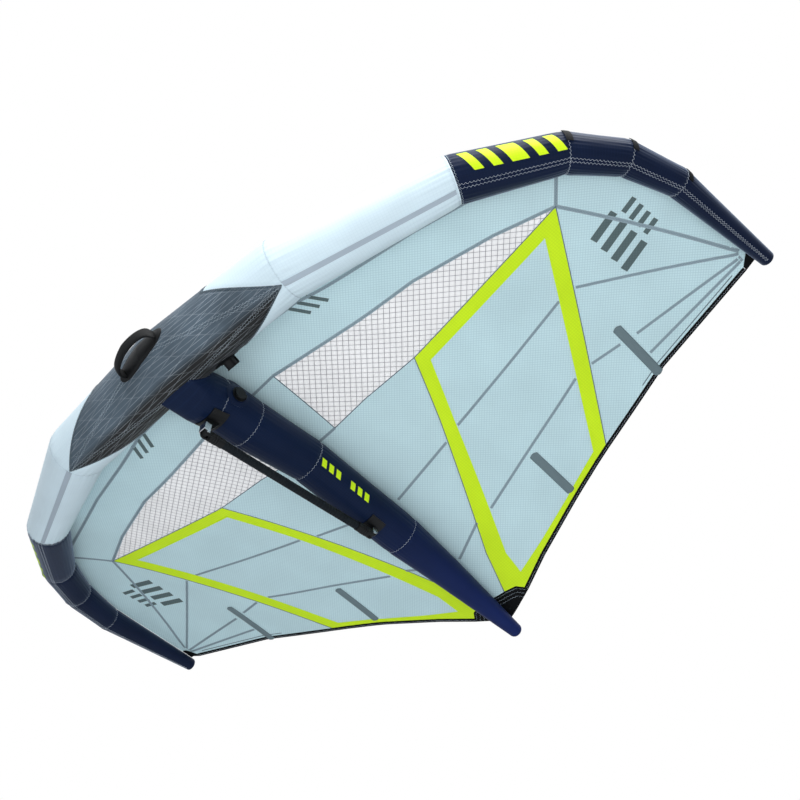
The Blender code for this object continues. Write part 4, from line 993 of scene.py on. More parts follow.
FRONT = np.array([cloth_edge(station) for station in range(len(LEADING_SHARES))])
TRAIL_SHARES = np.array([
    (0.0, 0.013), (0.085, 0.040), (0.176, 0.076), (0.310, 0.119), (0.428, 0.157),
    (0.466, 0.168), (0.590, 0.199), (0.683, 0.223), (0.949, 0.257), (0.986, 0.258),
])
TRAIL = TRAIL_SHARES * (HALF_SPAN, -CHORD) + (0, TAIL[1])
RISE_SHARES = np.array([
    (0, 0.061), (0.331, 0.434), (0.466, 0.542), (0.666, 0.735), (0.949, 1.0), (0.984, 1.062),
])
RISE = RISE_SHARES * (HALF_SPAN, TIP_RISE) + (0, TAIL[2])


def front_y(x):
    return np.interp(x, FRONT[:, 0], FRONT[:, 1])


def trail_y(x):
    return np.interp(x, TRAIL[:, 0], TRAIL[:, 1])


MIDDLE_CHORD = float(trail_y(0.0) - front_y(0.0))


def canopy_height(x, y):
    """Height of the canopy's upper face; the front's kinks are softened, but not at the tube or the tips."""
    x = np.abs(np.asarray(x, float))
    chord = np.maximum(trail_y(x) - front_y(x), 0.001)
    share = np.clip((y - front_y(x)) / chord, 0, 1)
    fore, aft = 0.0, 0.0
    ease = np.clip((SOFTEN_END - x) / SOFTEN_FADE, 0, 1) * np.clip(share * SOFTEN_FORE, 0, 1)
    for shift, weight in SOFTEN:
        where = np.abs(x + shift * ease)
        fore = fore + weight * np.interp(where, FRONT[:, 0], FRONT[:, 2])
        aft = aft + weight * np.interp(where, RISE[:, 0], RISE[:, 1])
    flat = (1 - share) * fore + share * aft
    return flat + CAMBER * chord / MIDDLE_CHORD * 4 * share * (1 - share)


UV_LINE, STEEPEST = 0.3, 0.01
SPAN_STEPS = np.linspace(0, 1.46, 147)
rises = np.clip(np.diff(canopy_height(SPAN_STEPS, UV_LINE)), -STEEPEST, STEEPEST)
SPAN_RUN = np.concatenate(([0.0], np.cumsum(np.hypot(np.diff(SPAN_STEPS), rises))))


def cloth_uv(x, y):
    """Metres on the flat cloth: along the span, and back from the boom's middle."""
    return np.stack((np.sign(x) * np.interp(np.abs(x), SPAN_STEPS, SPAN_RUN), np.asarray(y, float)), -1)


print("height in the middle of the boom's place:", round(float(canopy_height(0.0, 0.0)), 3))

# %% [markdown]
# ## Panels
#
# A sailmaker cuts panels from flat cloth along the lines of load. Each outline is given as seen from
# above. It is cut into small squares by planes, and only then is every corner lifted to the surface,
# so the outline stays exact and the bow is smooth. The window, the frame of bright cloth and the
# plain panels are separate sheets that meet at their edges.

# %% Corners of the panels
PLAN_SHARES = {
    "seam_0": (0.0, 0.915), "seam_1": (0.268, 0.897), "seam_2": (0.388, 0.867), "seam_3": (0.544, 0.831),
    "centre_front": (0.0, 0.805), "centre_rear": (0.0, 0.079),
    "window_1": (0.088, 0.808), "window_2": (0.290, 0.780), "window_3": (0.462, 0.755),
    "window_4": (0.641, 0.704), "window_5": (0.179, 0.632), "window_6": (0.075, 0.627),
    "apex": (0.769, 0.653), "frame_corner": (0.330, 0.629), "frame_mid": (0.252, 0.481),
    "frame_low": (0.080, 0.172), "frame_heel": (0.040, 0.074), "frame_side": (0.603, 0.389),
    "inner_apex": (0.709, 0.621), "inner_corner": (0.348, 0.601), "inner_mid": (0.273, 0.460),
    "inner_low": (0.112, 0.141), "inner_heel": (0.103, 0.082), "inner_sole": (0.203, 0.108),
    "inner_foot": (0.310, 0.140), "inner_toe": (0.436, 0.184), "inner_side": (0.522, 0.322),
    "patch_bend": (0.070, 0.066), "tip_corner": (0.949, 0.267),
}
HEM = 0.012
PLAN = {name: np.array((x * HALF_SPAN, TAIL[1] - y * CHORD)) for name, (x, y) in PLAN_SHARES.items()}
for number, edge in enumerate(FRONT):
    PLAN[f"lead_{number}"] = edge[:2]
PLAN["nose_end"] = cloth_edge(2.75)[:2]
PLAN["tip_start"] = cloth_edge(5.85)[:2]
PLAN["tip_end"] = cloth_edge(5.975)[:2]
for number, place in enumerate(TRAIL):
    near = TRAIL[max(number - 1, 0)]
    far = TRAIL[min(number + 1, len(TRAIL) - 1)]
    slope = (far[1] - near[1]) / (far[0] - near[0])
    PLAN[f"trail_{number}"] = place
    PLAN[f"hem_{number}"] = place - (0, HEM * math.hypot(1, slope))
print("plan corners:", len(PLAN))


# %% Panel builder
CANOPY_THICKNESS = 0.0006


def cut_in_squares(work, pitch):
    """Cut flat faces by planes across both directions."""
    places = np.array([v.co[:2] for v in work.verts])
    for axis, normal in ((0, (1, 0, 0)), (1, (0, 1, 0))):
        low, high = places[:, axis].min(), places[:, axis].max()
        for step in range(int(math.ceil(low / pitch)), int(high / pitch) + 1):
            centre = [0.0, 0.0, 0.0]
            centre[axis] = step * pitch
            geometry = work.verts[:] + work.edges[:] + work.faces[:]
            bmesh.ops.bisect_plane(work, geom=geometry, dist=WELD_GAP, plane_co=centre, plane_no=normal)


def flat_sheet(name, outlines, pitch):
    """One flat mesh from outlines that may share corners, cut in squares and facing up."""
    work = bmesh.new()
    known = {}
    for outline in outlines:
        corners = []
        for point in outline:
            key = (round(float(point[0]), 6), round(float(point[1]), 6))
            if key not in known:
                known[key] = work.verts.new((point[0], point[1], 0.0))
            if known[key] not in corners:
                corners.append(known[key])
        work.faces.new(corners)
    cut_in_squares(work, pitch)
    bmesh.ops.triangulate(work, faces=[face for face in work.faces if len(face.verts) > 4])
    bmesh.ops.recalc_face_normals(work, faces=work.faces)
    if sum(face.normal.z * face.calc_area() for face in work.faces) < 0:
        bmesh.ops.reverse_faces(work, faces=work.faces)
    mesh = bpy.data.meshes.new(name)
    work.to_mesh(mesh)
    work.free()
    return mesh


def canopy_piece(name, outlines, side, material, thickness=CANOPY_THICKNESS, drop=0.0, pitch=0.020):
    """Lay flat outlines on the canopy's surface as one sheet."""
    mesh = flat_sheet(name, outlines, pitch)
    places = np.zeros(len(mesh.vertices) * 3)
    mesh.vertices.foreach_get("co", places)
    places = places.reshape(-1, 3)
    uv = cloth_uv(places[:, 0] * side, places[:, 1])
    places[:, 2] = canopy_height(places[:, 0], places[:, 1]) - drop
    places[:, 0] *= side
    mesh.vertices.foreach_set("co", places.ravel())
    lay_uv(mesh, uv)
    if side < 0:
        mesh.flip_normals()
    mesh.shade_smooth()
    mesh.materials.append(material)
    return thicken(add_object(name, mesh), thickness)


def outline_of(words):
    return [PLAN[word] for word in words.split()]


# %% Cut and lay the panels
PANELS = {
    "nose_strip": ("canopy_cloth", "lead_0 lead_1 lead_2 nose_end seam_3 seam_2 seam_1 seam_0"),
    "front_panel": ("canopy_cloth", "seam_0 seam_1 seam_2 seam_3 nose_end lead_3 apex "
                                    "window_4 window_3 window_2 window_1 centre_front"),
    "window": ("window_film", "window_1 window_2 window_3 window_4 apex frame_corner window_5 window_6"),
    "strut_panel": ("canopy_cloth", "centre_front window_1 window_6 window_5 "
                                    "frame_corner frame_mid frame_low frame_heel centre_rear"),
    "inner_panel": ("canopy_cloth", "inner_apex inner_corner inner_mid inner_low inner_heel "
                                    "inner_sole inner_foot inner_toe inner_side"),
    "tip_panel": ("canopy_cloth", "apex lead_3 lead_4 lead_5 tip_start tip_corner "
                                  "hem_8 hem_7 hem_6 hem_5 frame_side"),
    "rear_patch": ("black_webbing", "centre_rear frame_heel patch_bend hem_1 trail_1 trail_0"),
    "tip_patch": ("black_webbing", "tip_start tip_end trail_8 hem_8 tip_corner"),
}
FRAME_OUTER = ("apex frame_corner frame_mid frame_low frame_heel patch_bend "
               "hem_1 hem_2 hem_3 hem_4 hem_5 frame_side")
FRAME_INNER = ("inner_apex inner_corner inner_mid inner_low inner_heel inner_heel "
               "inner_heel inner_sole inner_foot inner_toe inner_toe inner_side")


def ring_outlines(outer, inner):
    """Four-cornered outlines between two rings of as many corners."""
    after = [(i + 1) % len(outer) for i in range(len(outer))]
    return [[outer[i], outer[j], inner[j], inner[i]] for i, j in enumerate(after)]


frame_outlines = ring_outlines(outline_of(FRAME_OUTER), outline_of(FRAME_INNER))
for side, word in WORDS:
    for name, (cloth, words) in PANELS.items():
        turned = f"{cloth}_{word}" if f"{cloth}_{word}" in CLOTHS else cloth
        panel = canopy_piece(f"{name}_cloth_{word}", [outline_of(words)], side, CLOTHS[turned])
        declare_cloth(panel)
        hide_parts(f"{name}_{word}")
    load_frame = canopy_piece(f"load_frame_cloth_{word}", frame_outlines, side, CLOTHS["lime_cloth"])
    declare_cloth(load_frame)
    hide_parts(f"load_frame_{word}")
print("sheets so far:", len(SHEETS))

# %% [markdown]
# ## Tapes, hems and battens
#
# Where two panels meet, a strip of tape is sewn over the joint, and the trailing edge is folded into
# a webbing. A strip is the same everywhere: a path on the surface, a width, and a height a little
# above and below the cloth. One function makes it, so tapes and cords differ only in their numbers.

# %% Strip builder
STACK_STEP = 0.00004


def walk(path, pitch=0.02):
    """Points at even steps along a path seen from above."""
    points = [np.array(p, float) for p in path]
    out = [points[0]]
    for a, b in zip(points, points[1:]):
        steps = max(int(math.ceil(np.linalg.norm(b - a) / pitch)), 1)
        out += [a + (b - a) * (k + 1) / steps for k in range(steps)]
    return np.array(out)


def sideways(points):
    """Unit vectors to the left of a path seen from above, mitred at its bends."""
    steps = np.diff(points, axis=0)
    steps /= np.maximum(np.linalg.norm(steps, axis=1), 1e-9)[:, None]
    normals = np.stack((-steps[:, 1], steps[:, 0]), -1)
    joined = np.concatenate((normals[:1], normals[:-1] + normals[1:], normals[-1:]))
    joined /= np.linalg.norm(joined, axis=1)[:, None]
    widen = np.ones(len(points))
    widen[1:-1] = 1 / np.clip((joined[1:-1] * normals[1:]).sum(1), 0.5, 1)
    return joined * widen[:, None]


def strip_mesh(paths, width, lift, sink, side):
    """Closed thin strips on the canopy, each a hair thicker, so that no faces coincide where they cross."""
    points, faces, uv = [], [], []
    for number, path in enumerate(paths):
        line = walk(path)
        left = sideways(line)
        run = np.concatenate(([0.0], np.cumsum(np.linalg.norm(np.diff(line, axis=0), axis=1))))
        extra = STACK_STEP * (number % 5)
        ring = []
        for across, over in ((-0.5, lift), (0.5, lift), (0.5, -sink), (-0.5, -sink)):
            place = line + left * width * across
            height = canopy_height(place[:, 0], place[:, 1]) + over + math.copysign(extra, over)
            ring.append(np.column_stack((place[:, 0] * side, place[:, 1], height)))
        ring = np.stack(ring, 1)
        base = sum(len(p) for p in points)
        points.append(ring.reshape(-1, 3))
        columns = [np.column_stack((run, np.full(len(run), a))) for a in (0.0, width, width, 0.0)]
        uv.append(np.stack(columns, 1).reshape(-1, 2))
        for face in grid_faces(len(line), 4, closed=True):
            faces.append(tuple(base + corner for corner in face))
        faces.append((base, base + 3, base + 2, base + 1))
        end = base + (len(line) - 1) * 4
        faces.append((end, end + 1, end + 2, end + 3))
    return np.concatenate(points), faces, np.concatenate(uv)


def closed_piece(name, points, faces, material, uv=None, smooth=True):
    """A piece from a closed mesh, with its faces turned out."""
    made = mesh_piece(name, points, faces, material, uv, smooth)
    edit_mesh(made, turn_out)
    return made


def tape(name, paths, width, lift, sink, side):
    points, faces, uv = strip_mesh(paths, width, lift, sink, side)
    made = closed_piece(name, points, faces, CLOTHS["seam_tape"], uv, smooth=False)
    length = sum(float(np.linalg.norm(np.diff(np.array(p), axis=0), axis=1).sum()) for p in paths)
    declare_cloth(made, flat=(width, length))


# %% Seam tapes
def place(x, y):
    """A place given from the strut's tail, as it was measured."""
    return np.array((x, y + TAIL[1]))


TAPES = {
    "wide": [
        outline_of("seam_0 seam_1 seam_2 seam_3 nose_end"),
        outline_of("window_1 window_2 window_3 window_4 apex"),
        [PLAN["apex"], PLAN["lead_3"]],
        [PLAN["apex"], place(1.397, -0.474)],
    ],
    "narrow": [
        [place(0.910, -0.787), place(0.391, -0.706)],
        [place(0.320, -0.686), place(0.049, -0.642)],
        [place(0.766, -0.540), place(0.247, -0.389)],
        [place(0.174, -0.382), place(0.033, -0.321)],
        [place(0.976, -0.782), place(1.391, -0.468)],
        [place(0.836, -0.540), place(0.942, -0.521)],
        [place(1.003, -0.509), place(1.390, -0.456)],
        [place(0.990, -0.425), place(1.390, -0.446)],
        [PLAN["window_1"], place(0.025, -1.280)],
        [PLAN["window_6"], place(0.025, -0.996)],
    ],
}

# Width, height above the cloth and depth below its upper face.
TAPE_SIZES = {"wide": (0.012, 0.0003, 0.0010), "narrow": (0.010, 0.0004, 0.0011)}
CORD_LIFT, CORD_SINK = 0.0003, 0.0012
HEM_LINE = outline_of(" ".join(f"trail_{n}" for n in range(1, 9)))


def fold_line(inset, start, end):
    """The inner edge of the hem's fold, between two shares of the half span."""
    edge = walk(HEM_LINE)
    inner = edge - sideways(edge) * inset
    return inner[(inner[:, 0] > start * HALF_SPAN) & (inner[:, 0] < end * HALF_SPAN)]


FRAME_EDGES = [outline_of("inner_apex inner_side inner_toe inner_foot inner_sole inner_heel"),
               outline_of("inner_apex inner_corner inner_mid inner_low inner_heel")]
BINDINGS = [
    outline_of("window_1 window_6 window_5 frame_corner apex"),
    outline_of("frame_corner frame_mid frame_low frame_heel"),
    outline_of("apex frame_side hem_5"),
    fold_line(0.026, 0.615, 0.925),
]


def binding(name, paths, width, side, material):
    """A thin cord laid along a joint, as the folded edge of a panel shows."""
    points, faces, uv = strip_mesh(paths, width, CORD_LIFT, CORD_SINK, side)
    on_wing(closed_piece(name, points, faces, material, uv, smooth=False))


tape_count = 0
for side, word in WORDS:
    for size, (width, lift, sink) in TAPE_SIZES.items():
        tape(f"{size}_seam_tapes_{word}", TAPES[size], width, lift, sink, side)
    binding(f"panel_bindings_{word}", BINDINGS, 0.003, side, THREADS["grey_thread"])
    binding(f"frame_bindings_{word}", FRAME_EDGES, 0.005, side, CLOTHS["lime_cloth"])
    tape_count += sum(len(paths) for paths in TAPES.values()) + len(BINDINGS)
print("taped and bound seams:", tape_count)


# %% Trailing edge webbing, batten pockets and the strut's web
HEM_PROFILE = (
    (0.0000, 0.0004), (0.0030, 0.0010), (0.0130, 0.0010), (0.0160, 0.0008),
    (0.0160, -0.0012), (0.0130, -0.0016), (0.0030, -0.0016), (0.0000, -0.0010),
)
BATTENS = {"inner": ((0.333, 0.271), (0.331, 0.150)), "outer": ((0.669, 0.359), (0.666, 0.221))}
UNDERSIDE = 0.0019
POCKET_WIDTH, POCKET_CORNER, POCKET_ENDS = 0.0310, 0.007, 0.0144
POCKET_EDGE, BATTEN_CROWN = 0.0005, 0.0023
WEB_THICKNESS = 0.0006


def hem_strip(side, word):
    """Webbing folded round the trailing edge, thicker at its fold."""
    edge = walk(HEM_LINE, 0.012)
    left = sideways(edge)
    run = np.concatenate(([0.0], np.cumsum(np.linalg.norm(np.diff(edge, axis=0), axis=1))))
    ring, uv = [], []
    for back, over in HEM_PROFILE:
        spot = edge - left * back
        height = canopy_height(spot[:, 0], spot[:, 1]) + over
        ring.append(np.column_stack((spot[:, 0] * side, spot[:, 1], height)))
        uv.append(np.column_stack((run, np.full(len(run), back if over > 0 else -back))))
    corners = len(HEM_PROFILE)
    last = (len(edge) - 1) * corners
    faces = grid_faces(len(edge), corners, closed=True)
    faces += [tuple(range(corners)), tuple(range(last, last + corners))]
    made = closed_piece(f"trailing_webbing_cloth_{word}", np.stack(ring, 1).reshape(-1, 3), faces,
                        CLOTHS["black_webbing"], np.stack(uv, 1).reshape(-1, 2))
    declare_cloth(made, flat=(0.0160, float(run[-1])))
    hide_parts(f"trailing_webbing_{word}")


def rim_of(rows, columns):
    """The border of a grid, once round."""
    rim = [row * columns for row in range(rows)]
    rim += [(rows - 1) * columns + column for column in range(1, columns)]
    rim += [row * columns + columns - 1 for row in range(rows - 2, -1, -1)]
    return rim + list(range(columns - 2, 0, -1))


def batten_pocket(name, ends, side, word):
    """A pocket sewn under the canopy with a flat batten in it, so its middle stands out."""
    start, end = (np.array((x * HALF_SPAN, TAIL[1] - y * CHORD)) for x, y in ends)
    along = (end - start) / np.linalg.norm(end - start)
    across = np.array((-along[1], along[0]))
    length = float(np.linalg.norm(end - start)) + POCKET_ENDS
    rows, columns = 40, 13
    v = np.linspace(-1, 1, rows)[:, None]
    u = np.linspace(-1, 1, columns)[None, :]
    into_corner = np.clip(((np.abs(v) - 1) * length / 2 + POCKET_CORNER) / POCKET_CORNER, 0, 1)
    half = POCKET_WIDTH / 2 * np.sqrt(np.clip(1 - into_corner ** 2, 0.05, 1))
    middle = (start + end) / 2
    place_x = middle[0] + along[0] * v * length / 2 + across[0] * u * half
    place_y = middle[1] + along[1] * v * length / 2 + across[1] * u * half
    crown = np.clip((1 - np.abs(u) ** 4), 0, 1) * np.clip((1 - np.abs(v) ** 40), 0, 1)
    top = canopy_height(place_x, place_y) - UNDERSIDE
    low = top - POCKET_EDGE - BATTEN_CROWN * crown
    layers = [np.stack((place_x * side, place_y, z), -1).reshape(-1, 3) for z in (top, low)]
    uv = np.stack((v * length / 2 + 0 * u, u * half), -1).reshape(-1, 2)
    count = rows * columns
    rim = rim_of(rows, columns)
    faces = grid_faces(rows, columns)
    faces += [tuple(count + corner for corner in face[::-1]) for face in grid_faces(rows, columns)]
    faces += [(a, b, b + count, a + count) for a, b in zip(rim, rim[1:] + rim[:1])]
    made = closed_piece(f"batten_{name}_pocket_{word}", np.concatenate(layers), faces, CLOTHS["batten_cloth"],
                        np.concatenate((uv, uv)))
    declare_cloth(made, flat=(POCKET_WIDTH, length))
    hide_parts(f"batten_{name}_{word}")


def strut_web():
    """Upright strip between the canopy and the strut's back."""
    rows, columns = 5, 50
    low, along = STRUT.skin(np.linspace(0.27, 2.6, columns), 90.0, 0.0003)
    high = canopy_height(0 * along, low[:, 1]) - UNDERSIDE
    heights = [low[:, 2] * (1 - share) + high * share for share in np.linspace(0, 1, rows)]
    points = [np.column_stack((0 * along, low[:, 1], height)) for height in heights]
    uv = [np.column_stack((along, height)) for height in heights]
    made = mesh_piece("strut_web_cloth", np.concatenate(points), grid_faces(rows, columns),
                      CLOTHS["navy_cloth"], np.concatenate(uv))
    thicken(made, WEB_THICKNESS, 0.0)
    declare_cloth(made)
    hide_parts("strut_web")


for side, word in WORDS:
    hem_strip(side, word)
    for name, ends in BATTENS.items():
        batten_pocket(name, ends, side, word)
strut_web()
print("sheets in all:", len(SHEETS))

# %% [markdown]
# ## Thread
#
# A sewing machine swings its needle from side to side at an even step along a seam. That is one rule
# on a path, so Geometry Nodes can do it: the path is cut at even steps, every second point moves to
# the other side, and a thin section is swept along. Each point of a path carries the direction that
# is sideways there, as a vector named side. The result is baked to a plain mesh.

# %% Zigzag tree
def make_zigzag():
    tree = bpy.data.node_groups.new("zigzag stitch", "GeometryNodeTree")
    face = tree.interface
    face.new_socket("Geometry", in_out="INPUT", socket_type="NodeSocketGeometry")
    for label, value in (("Step", 0.005), ("Width", 0.005), ("Thread", 0.0008)):
        face.new_socket(label, in_out="INPUT", socket_type="NodeSocketFloat").default_value = value
    face.new_socket("Finish", in_out="INPUT", socket_type="NodeSocketMaterial")
    face.new_socket("Geometry", in_out="OUTPUT", socket_type="NodeSocketGeometry")
    entry = add_node(tree, "NodeGroupInput")
    leave = add_node(tree, "NodeGroupOutput")
    link = tree.links.new
    path = add_node(tree, "GeometryNodeMeshToCurve")
    steps = add_node(tree, "GeometryNodeResampleCurve", mode="LENGTH")
    sideways_of = add_node(tree, "GeometryNodeInputNamedAttribute", data_type="FLOAT_VECTOR")
    sideways_of.inputs["Name"].default_value = "side"
    turn = calc(tree, "MODULO", add_node(tree, "GeometryNodeInputIndex").outputs[0], 2.0)
    swing = calc(tree, "MULTIPLY", calc(tree, "SUBTRACT", turn, 0.5), entry.outputs["Width"])
    offset = add_node(tree, "ShaderNodeVectorMath", operation="SCALE")
    shifted = add_node(tree, "GeometryNodeSetPosition")
    section = add_node(tree, "GeometryNodeCurvePrimitiveCircle")
    section.inputs["Resolution"].default_value = 4
    swept = add_node(tree, "GeometryNodeCurveToMesh")
    swept.inputs["Fill Caps"].default_value = True
    plain = add_node(tree, "GeometryNodeRealizeInstances")
    finish = add_node(tree, "GeometryNodeSetMaterial")
    link(entry.outputs["Geometry"], path.inputs["Mesh"])
    link(path.outputs["Curve"], steps.inputs["Curve"])
    link(entry.outputs["Step"], steps.inputs["Length"])
    link(sideways_of.outputs["Attribute"], offset.inputs[0])
    link(swing, offset.inputs["Scale"])
    link(steps.outputs["Curve"], shifted.inputs["Geometry"])
    link(offset.outputs["Vector"], shifted.inputs["Offset"])
    link(entry.outputs["Thread"], section.inputs["Radius"])
    link(shifted.outputs["Geometry"], swept.inputs["Curve"])
    link(section.outputs["Curve"], swept.inputs["Profile Curve"])
    link(swept.outputs["Mesh"], plain.inputs["Geometry"])
    link(plain.outputs["Geometry"], finish.inputs["Geometry"])
    link(entry.outputs["Finish"], finish.inputs["Material"])
    link(finish.outputs["Geometry"], leave.inputs["Geometry"])
    return tree


ZIGZAG = make_zigzag()


def set_input(modifier, label, value):
    for item in modifier.node_group.interface.items_tree:
        if item.item_type == "SOCKET" and item.in_out == "INPUT" and item.name == label:
            modifier[item.identifier] = value


def bake(made):
    """Swap an object's mesh for what its modifiers make."""
    depsgraph = bpy.context.evaluated_depsgraph_get()
    result = bpy.data.meshes.new_from_object(made.evaluated_get(depsgraph))
    made.modifiers.clear()
    made.data = result
    result.name = made.name


def sew(name, paths, thread, width=0.005, step=0.005, radius=0.0008):
    """Zigzag thread along paths; a path is an array of points and one of sideways directions."""
    points, sides, edges = [], [], []
    for line, side in paths:
        base = len(points)
        points += [tuple(map(float, p)) for p in line]
        sides += [tuple(map(float, s)) for s in side]
        edges += [(base + i, base + i + 1) for i in range(len(line) - 1)]
    mesh = bpy.data.meshes.new(name)
    mesh.from_pydata(points, edges, [])
    layer = mesh.attributes.new("side", "FLOAT_VECTOR", "POINT")
    layer.data.foreach_set("vector", np.array(sides).ravel())
    made = add_object(name, mesh)
    change = made.modifiers.new("stitches", "NODES")
    change.node_group = ZIGZAG
    for label, value in (("Step", step), ("Width", width), ("Thread", radius), ("Finish", THREADS[thread])):
        set_input(change, label, value)
    bake(made)
    on_wing(made)


# %% Paths on tubes
THREAD_LIFT = 0.0007
FULL_TURN = np.linspace(0, 360, 181)
ROW_END = 0.985
NUDGE, NUDGE_DEGREES = 0.002, 0.04


def tube_path(tube, side, station, degrees, seams, shift=0.0, across=True):
    """A path on a tube's skin; sideways is along the tube when the path runs round it."""
    station = np.asarray(station, float)
    degrees = np.asarray(degrees, float)
    radius = float(np.interp(station.mean(), range(len(tube.radii)), tube.radii))
    degrees = degrees + math.degrees(shift / radius)
    rise = pucker(tube, station, degrees, seams) + THREAD_LIFT
    points, _ = tube.skin(station, degrees, rise)
    if across:
        ahead = np.clip(station + NUDGE, 0, len(tube.radii) - 1.0001)
        sides = tube.skin(ahead, degrees, rise)[0] - tube.skin(ahead - NUDGE, degrees, rise)[0]
    else:
        sides = tube.skin(station, degrees + NUDGE_DEGREES, rise)[0] - points
    sides = sides / np.linalg.norm(sides, axis=1)[:, None]
    flip = np.array((side, 1.0, 1.0))
    return points * flip, sides * flip


def ring(tube, side, station, seams):
    return tube_path(tube, side, np.full(len(FULL_TURN), float(station)), FULL_TURN, seams)


def long_row(tube, side, start, end, degrees, shift, seams, count=160):
    station = np.linspace(start, end, count)
    return tube_path(tube, side, station, np.full(count, float(degrees)), seams, shift, across=False)


tube_thread = 0
for side, word in WORDS:
    rows = [long_row(LEADING, side, 2.0, 5.97, -100, shift, (2, 3, 4, 5)) for shift in (-0.0045, 0.0045)]
    rings = [ring(LEADING, side, station, (3, 4, 5)) for station in (3.004, 4.004, 5.004)]
    sew(f"tip_tube_thread_{word}", rows + rings, "white_thread",
        width=0.005, step=0.006, radius=0.0005)
    border = [ring(LEADING, side, 2.0 + shift, (2,)) for shift in (-0.012, 0.014)]
    middle = [ring(LEADING, side, 1.0, (1,))]
    turns = LENS_POINT_DEGREES + np.linspace(0, 360, 241)
    lens = [tube_path(LEADING, side, lens_edge(turns) - back, turns, ()) for back in (0.010, 0.024)]
    sew(f"white_tube_thread_{word}", border + middle, "pale_thread",
        width=0.004, step=0.005, radius=0.0005)
    sew(f"centre_edge_thread_{word}", lens, "grey_thread")
    tube_thread += len(rows + rings + border + middle + lens)

strut_rings = [ring(STRUT, 1, station, STRUT_SEAMS) for station in (0.724, 2.004, 3.004, 4.004)]
strut_rows = [long_row(STRUT, 1, 0.3, 5.9, 88, shift, STRUT_SEAMS) for shift in (-0.006, 0.006)]
sew("strut_thread", strut_rings + strut_rows, "white_thread",
    width=0.004, step=0.006, radius=0.00045)


def lens_row(share, shift):
    """A row in the dark middle that runs from point to point, a share of the way to its edge."""
    half = np.linspace(0, ROW_END, 120)
    station = np.concatenate((-half[:0:-1], half))
    reach = 90 * (LENS_POINT - np.abs(station)) / (LENS_SLOPE_UP if share > 0 else LENS_SLOPE_DOWN)
    degrees = LENS_POINT_DEGREES + share * reach + math.degrees(shift / LEADING_RADIUS)
    line, sides = tube_path(LEADING, 1, np.abs(station), degrees, (), across=False)
    line[:, 0] = np.copysign(line[:, 0], station)
    sides[:, 0] = np.copysign(sides[:, 0], station) * np.sign(sides[:, 0] + 1e-9)
    return line, sides


centre_rows = [lens_row(share, shift) for share in (-0.3, 0.26) for shift in (-0.005, 0.005)]
sew("centre_row_thread", centre_rows, "pale_thread",
    width=0.004, step=0.006, radius=0.00035)
print("rows and rings of thread on the tubes:", tube_thread + len(strut_rings + strut_rows + centre_rows))


# %% Paths on the canopy
def canopy_path(path, side, drop, shift=0.0):
    """A path on the canopy's lower face."""
    line = walk(path, 0.015)
    left = sideways(line)
    line = line + left * shift
    height = canopy_height(line[:, 0], line[:, 1]) - drop
    points = np.column_stack((line[:, 0] * side, line[:, 1], height))
    left = left / np.linalg.norm(left, axis=1)[:, None]
    return points, np.column_stack((left[:, 0] * side, left[:, 1], 0 * height))


FRAME_ROWS = [
    (outline_of("apex frame_corner frame_mid frame_low frame_heel"), 0.006),
    (outline_of("apex frame_side hem_5"), -0.006),
    (FRAME_EDGES[1], -0.006),
    (FRAME_EDGES[0], 0.006),
]
PATCH_BORDER = outline_of("centre_rear frame_heel patch_bend hem_1")
for side, word in WORDS:
    seams = [canopy_path(path, side, 0.0017) for paths in TAPES.values() for path in paths]
    sew(f"seam_thread_{word}", seams, "grey_thread",
        width=0.005, step=0.005, radius=0.0004)
    inset = [canopy_path(path, side, 0.0009, shift) for path, shift in FRAME_ROWS]
    sew(f"frame_thread_{word}", inset, "white_thread",
        width=0.003, step=0.004, radius=0.0003)
    arcs = [canopy_path(PATCH_BORDER, side, 0.0010, shift) for shift in (0.008, 0.022, 0.036)]
    sew(f"rear_patch_thread_{word}", arcs, "pale_thread",
        width=0.004, step=0.005, radius=0.0004)
    hem = [canopy_path(HEM_LINE, side, 0.0018, -0.007)]
    sew(f"hem_thread_{word}", hem, "white_thread",
        width=0.004, step=0.005, radius=0.0003)
print("thread objects:", len([o for o in bpy.data.objects if "thread" in o.name]))

# %% [markdown]
# ## Patches, tabs and printed shapes
#
# Small pieces are laid on a tube by giving places in metres along it and round it from one spot.
# A reinforcement ring sits round each valve, tabs close the ring seams near the tips, and groups of
# slanted bars are printed on the tubes and the cloth. The bars are plain, generic shapes.

# %% Pieces laid on a tube
def on_tube(tube, side, station, degrees, along, round_way, lift):
    """Places on a tube, from a spot on it and metres along and round."""
    low = min(int(station), len(tube.lengths) - 1)
    where = station + np.asarray(along, float) / tube.lengths[low]
    radius = float(np.interp(station, range(len(tube.radii)), tube.radii))
    turned = degrees + np.degrees(np.asarray(round_way, float) / radius)
    points, _ = tube.skin(where, turned, np.broadcast_to(lift, np.shape(where)))
    return points * (side, 1, 1)


def laid_patch(name, tube, side, station, degrees, borders, cloth, lift, thickness):
    """A patch between two equal borders, such as a ring's outer and inner ones, or a bar's sides."""
    first, last = (np.array(border, float) for border in borders)
    share = np.linspace(0, 1, 7)[:, None, None]
    flat = first * (1 - share) + last * share
    points = on_tube(tube, side, station, degrees, flat[..., 0], flat[..., 1], lift)
    faces = grid_faces(*flat.shape[:2])
    made = mesh_piece(name, points.reshape(-1, 3), faces, CLOTHS[cloth], flat.reshape(-1, 2))
    edit_mesh(made, weld)
    inside = tube.skin(np.array(float(station)), 0.0, -float(tube.radii[int(station)]))[0]
    face_away(made, Vector(inside * (side, 1, 1)))
    return thicken(made, thickness, 1.0)


def ring_borders(outer, inner, count=48):
    turn = np.linspace(0, math.tau, count + 1)
    unit = np.stack((np.cos(turn), np.sin(turn)), -1)
    return unit * outer, unit * inner


def bar_borders(length, height, slant, start=0.0, rise=0.0, count=9):
    share = np.linspace(0, 1, count)
    low = np.stack((start + share * length, np.full(count, rise)), -1)
    return low, low + (slant, height)


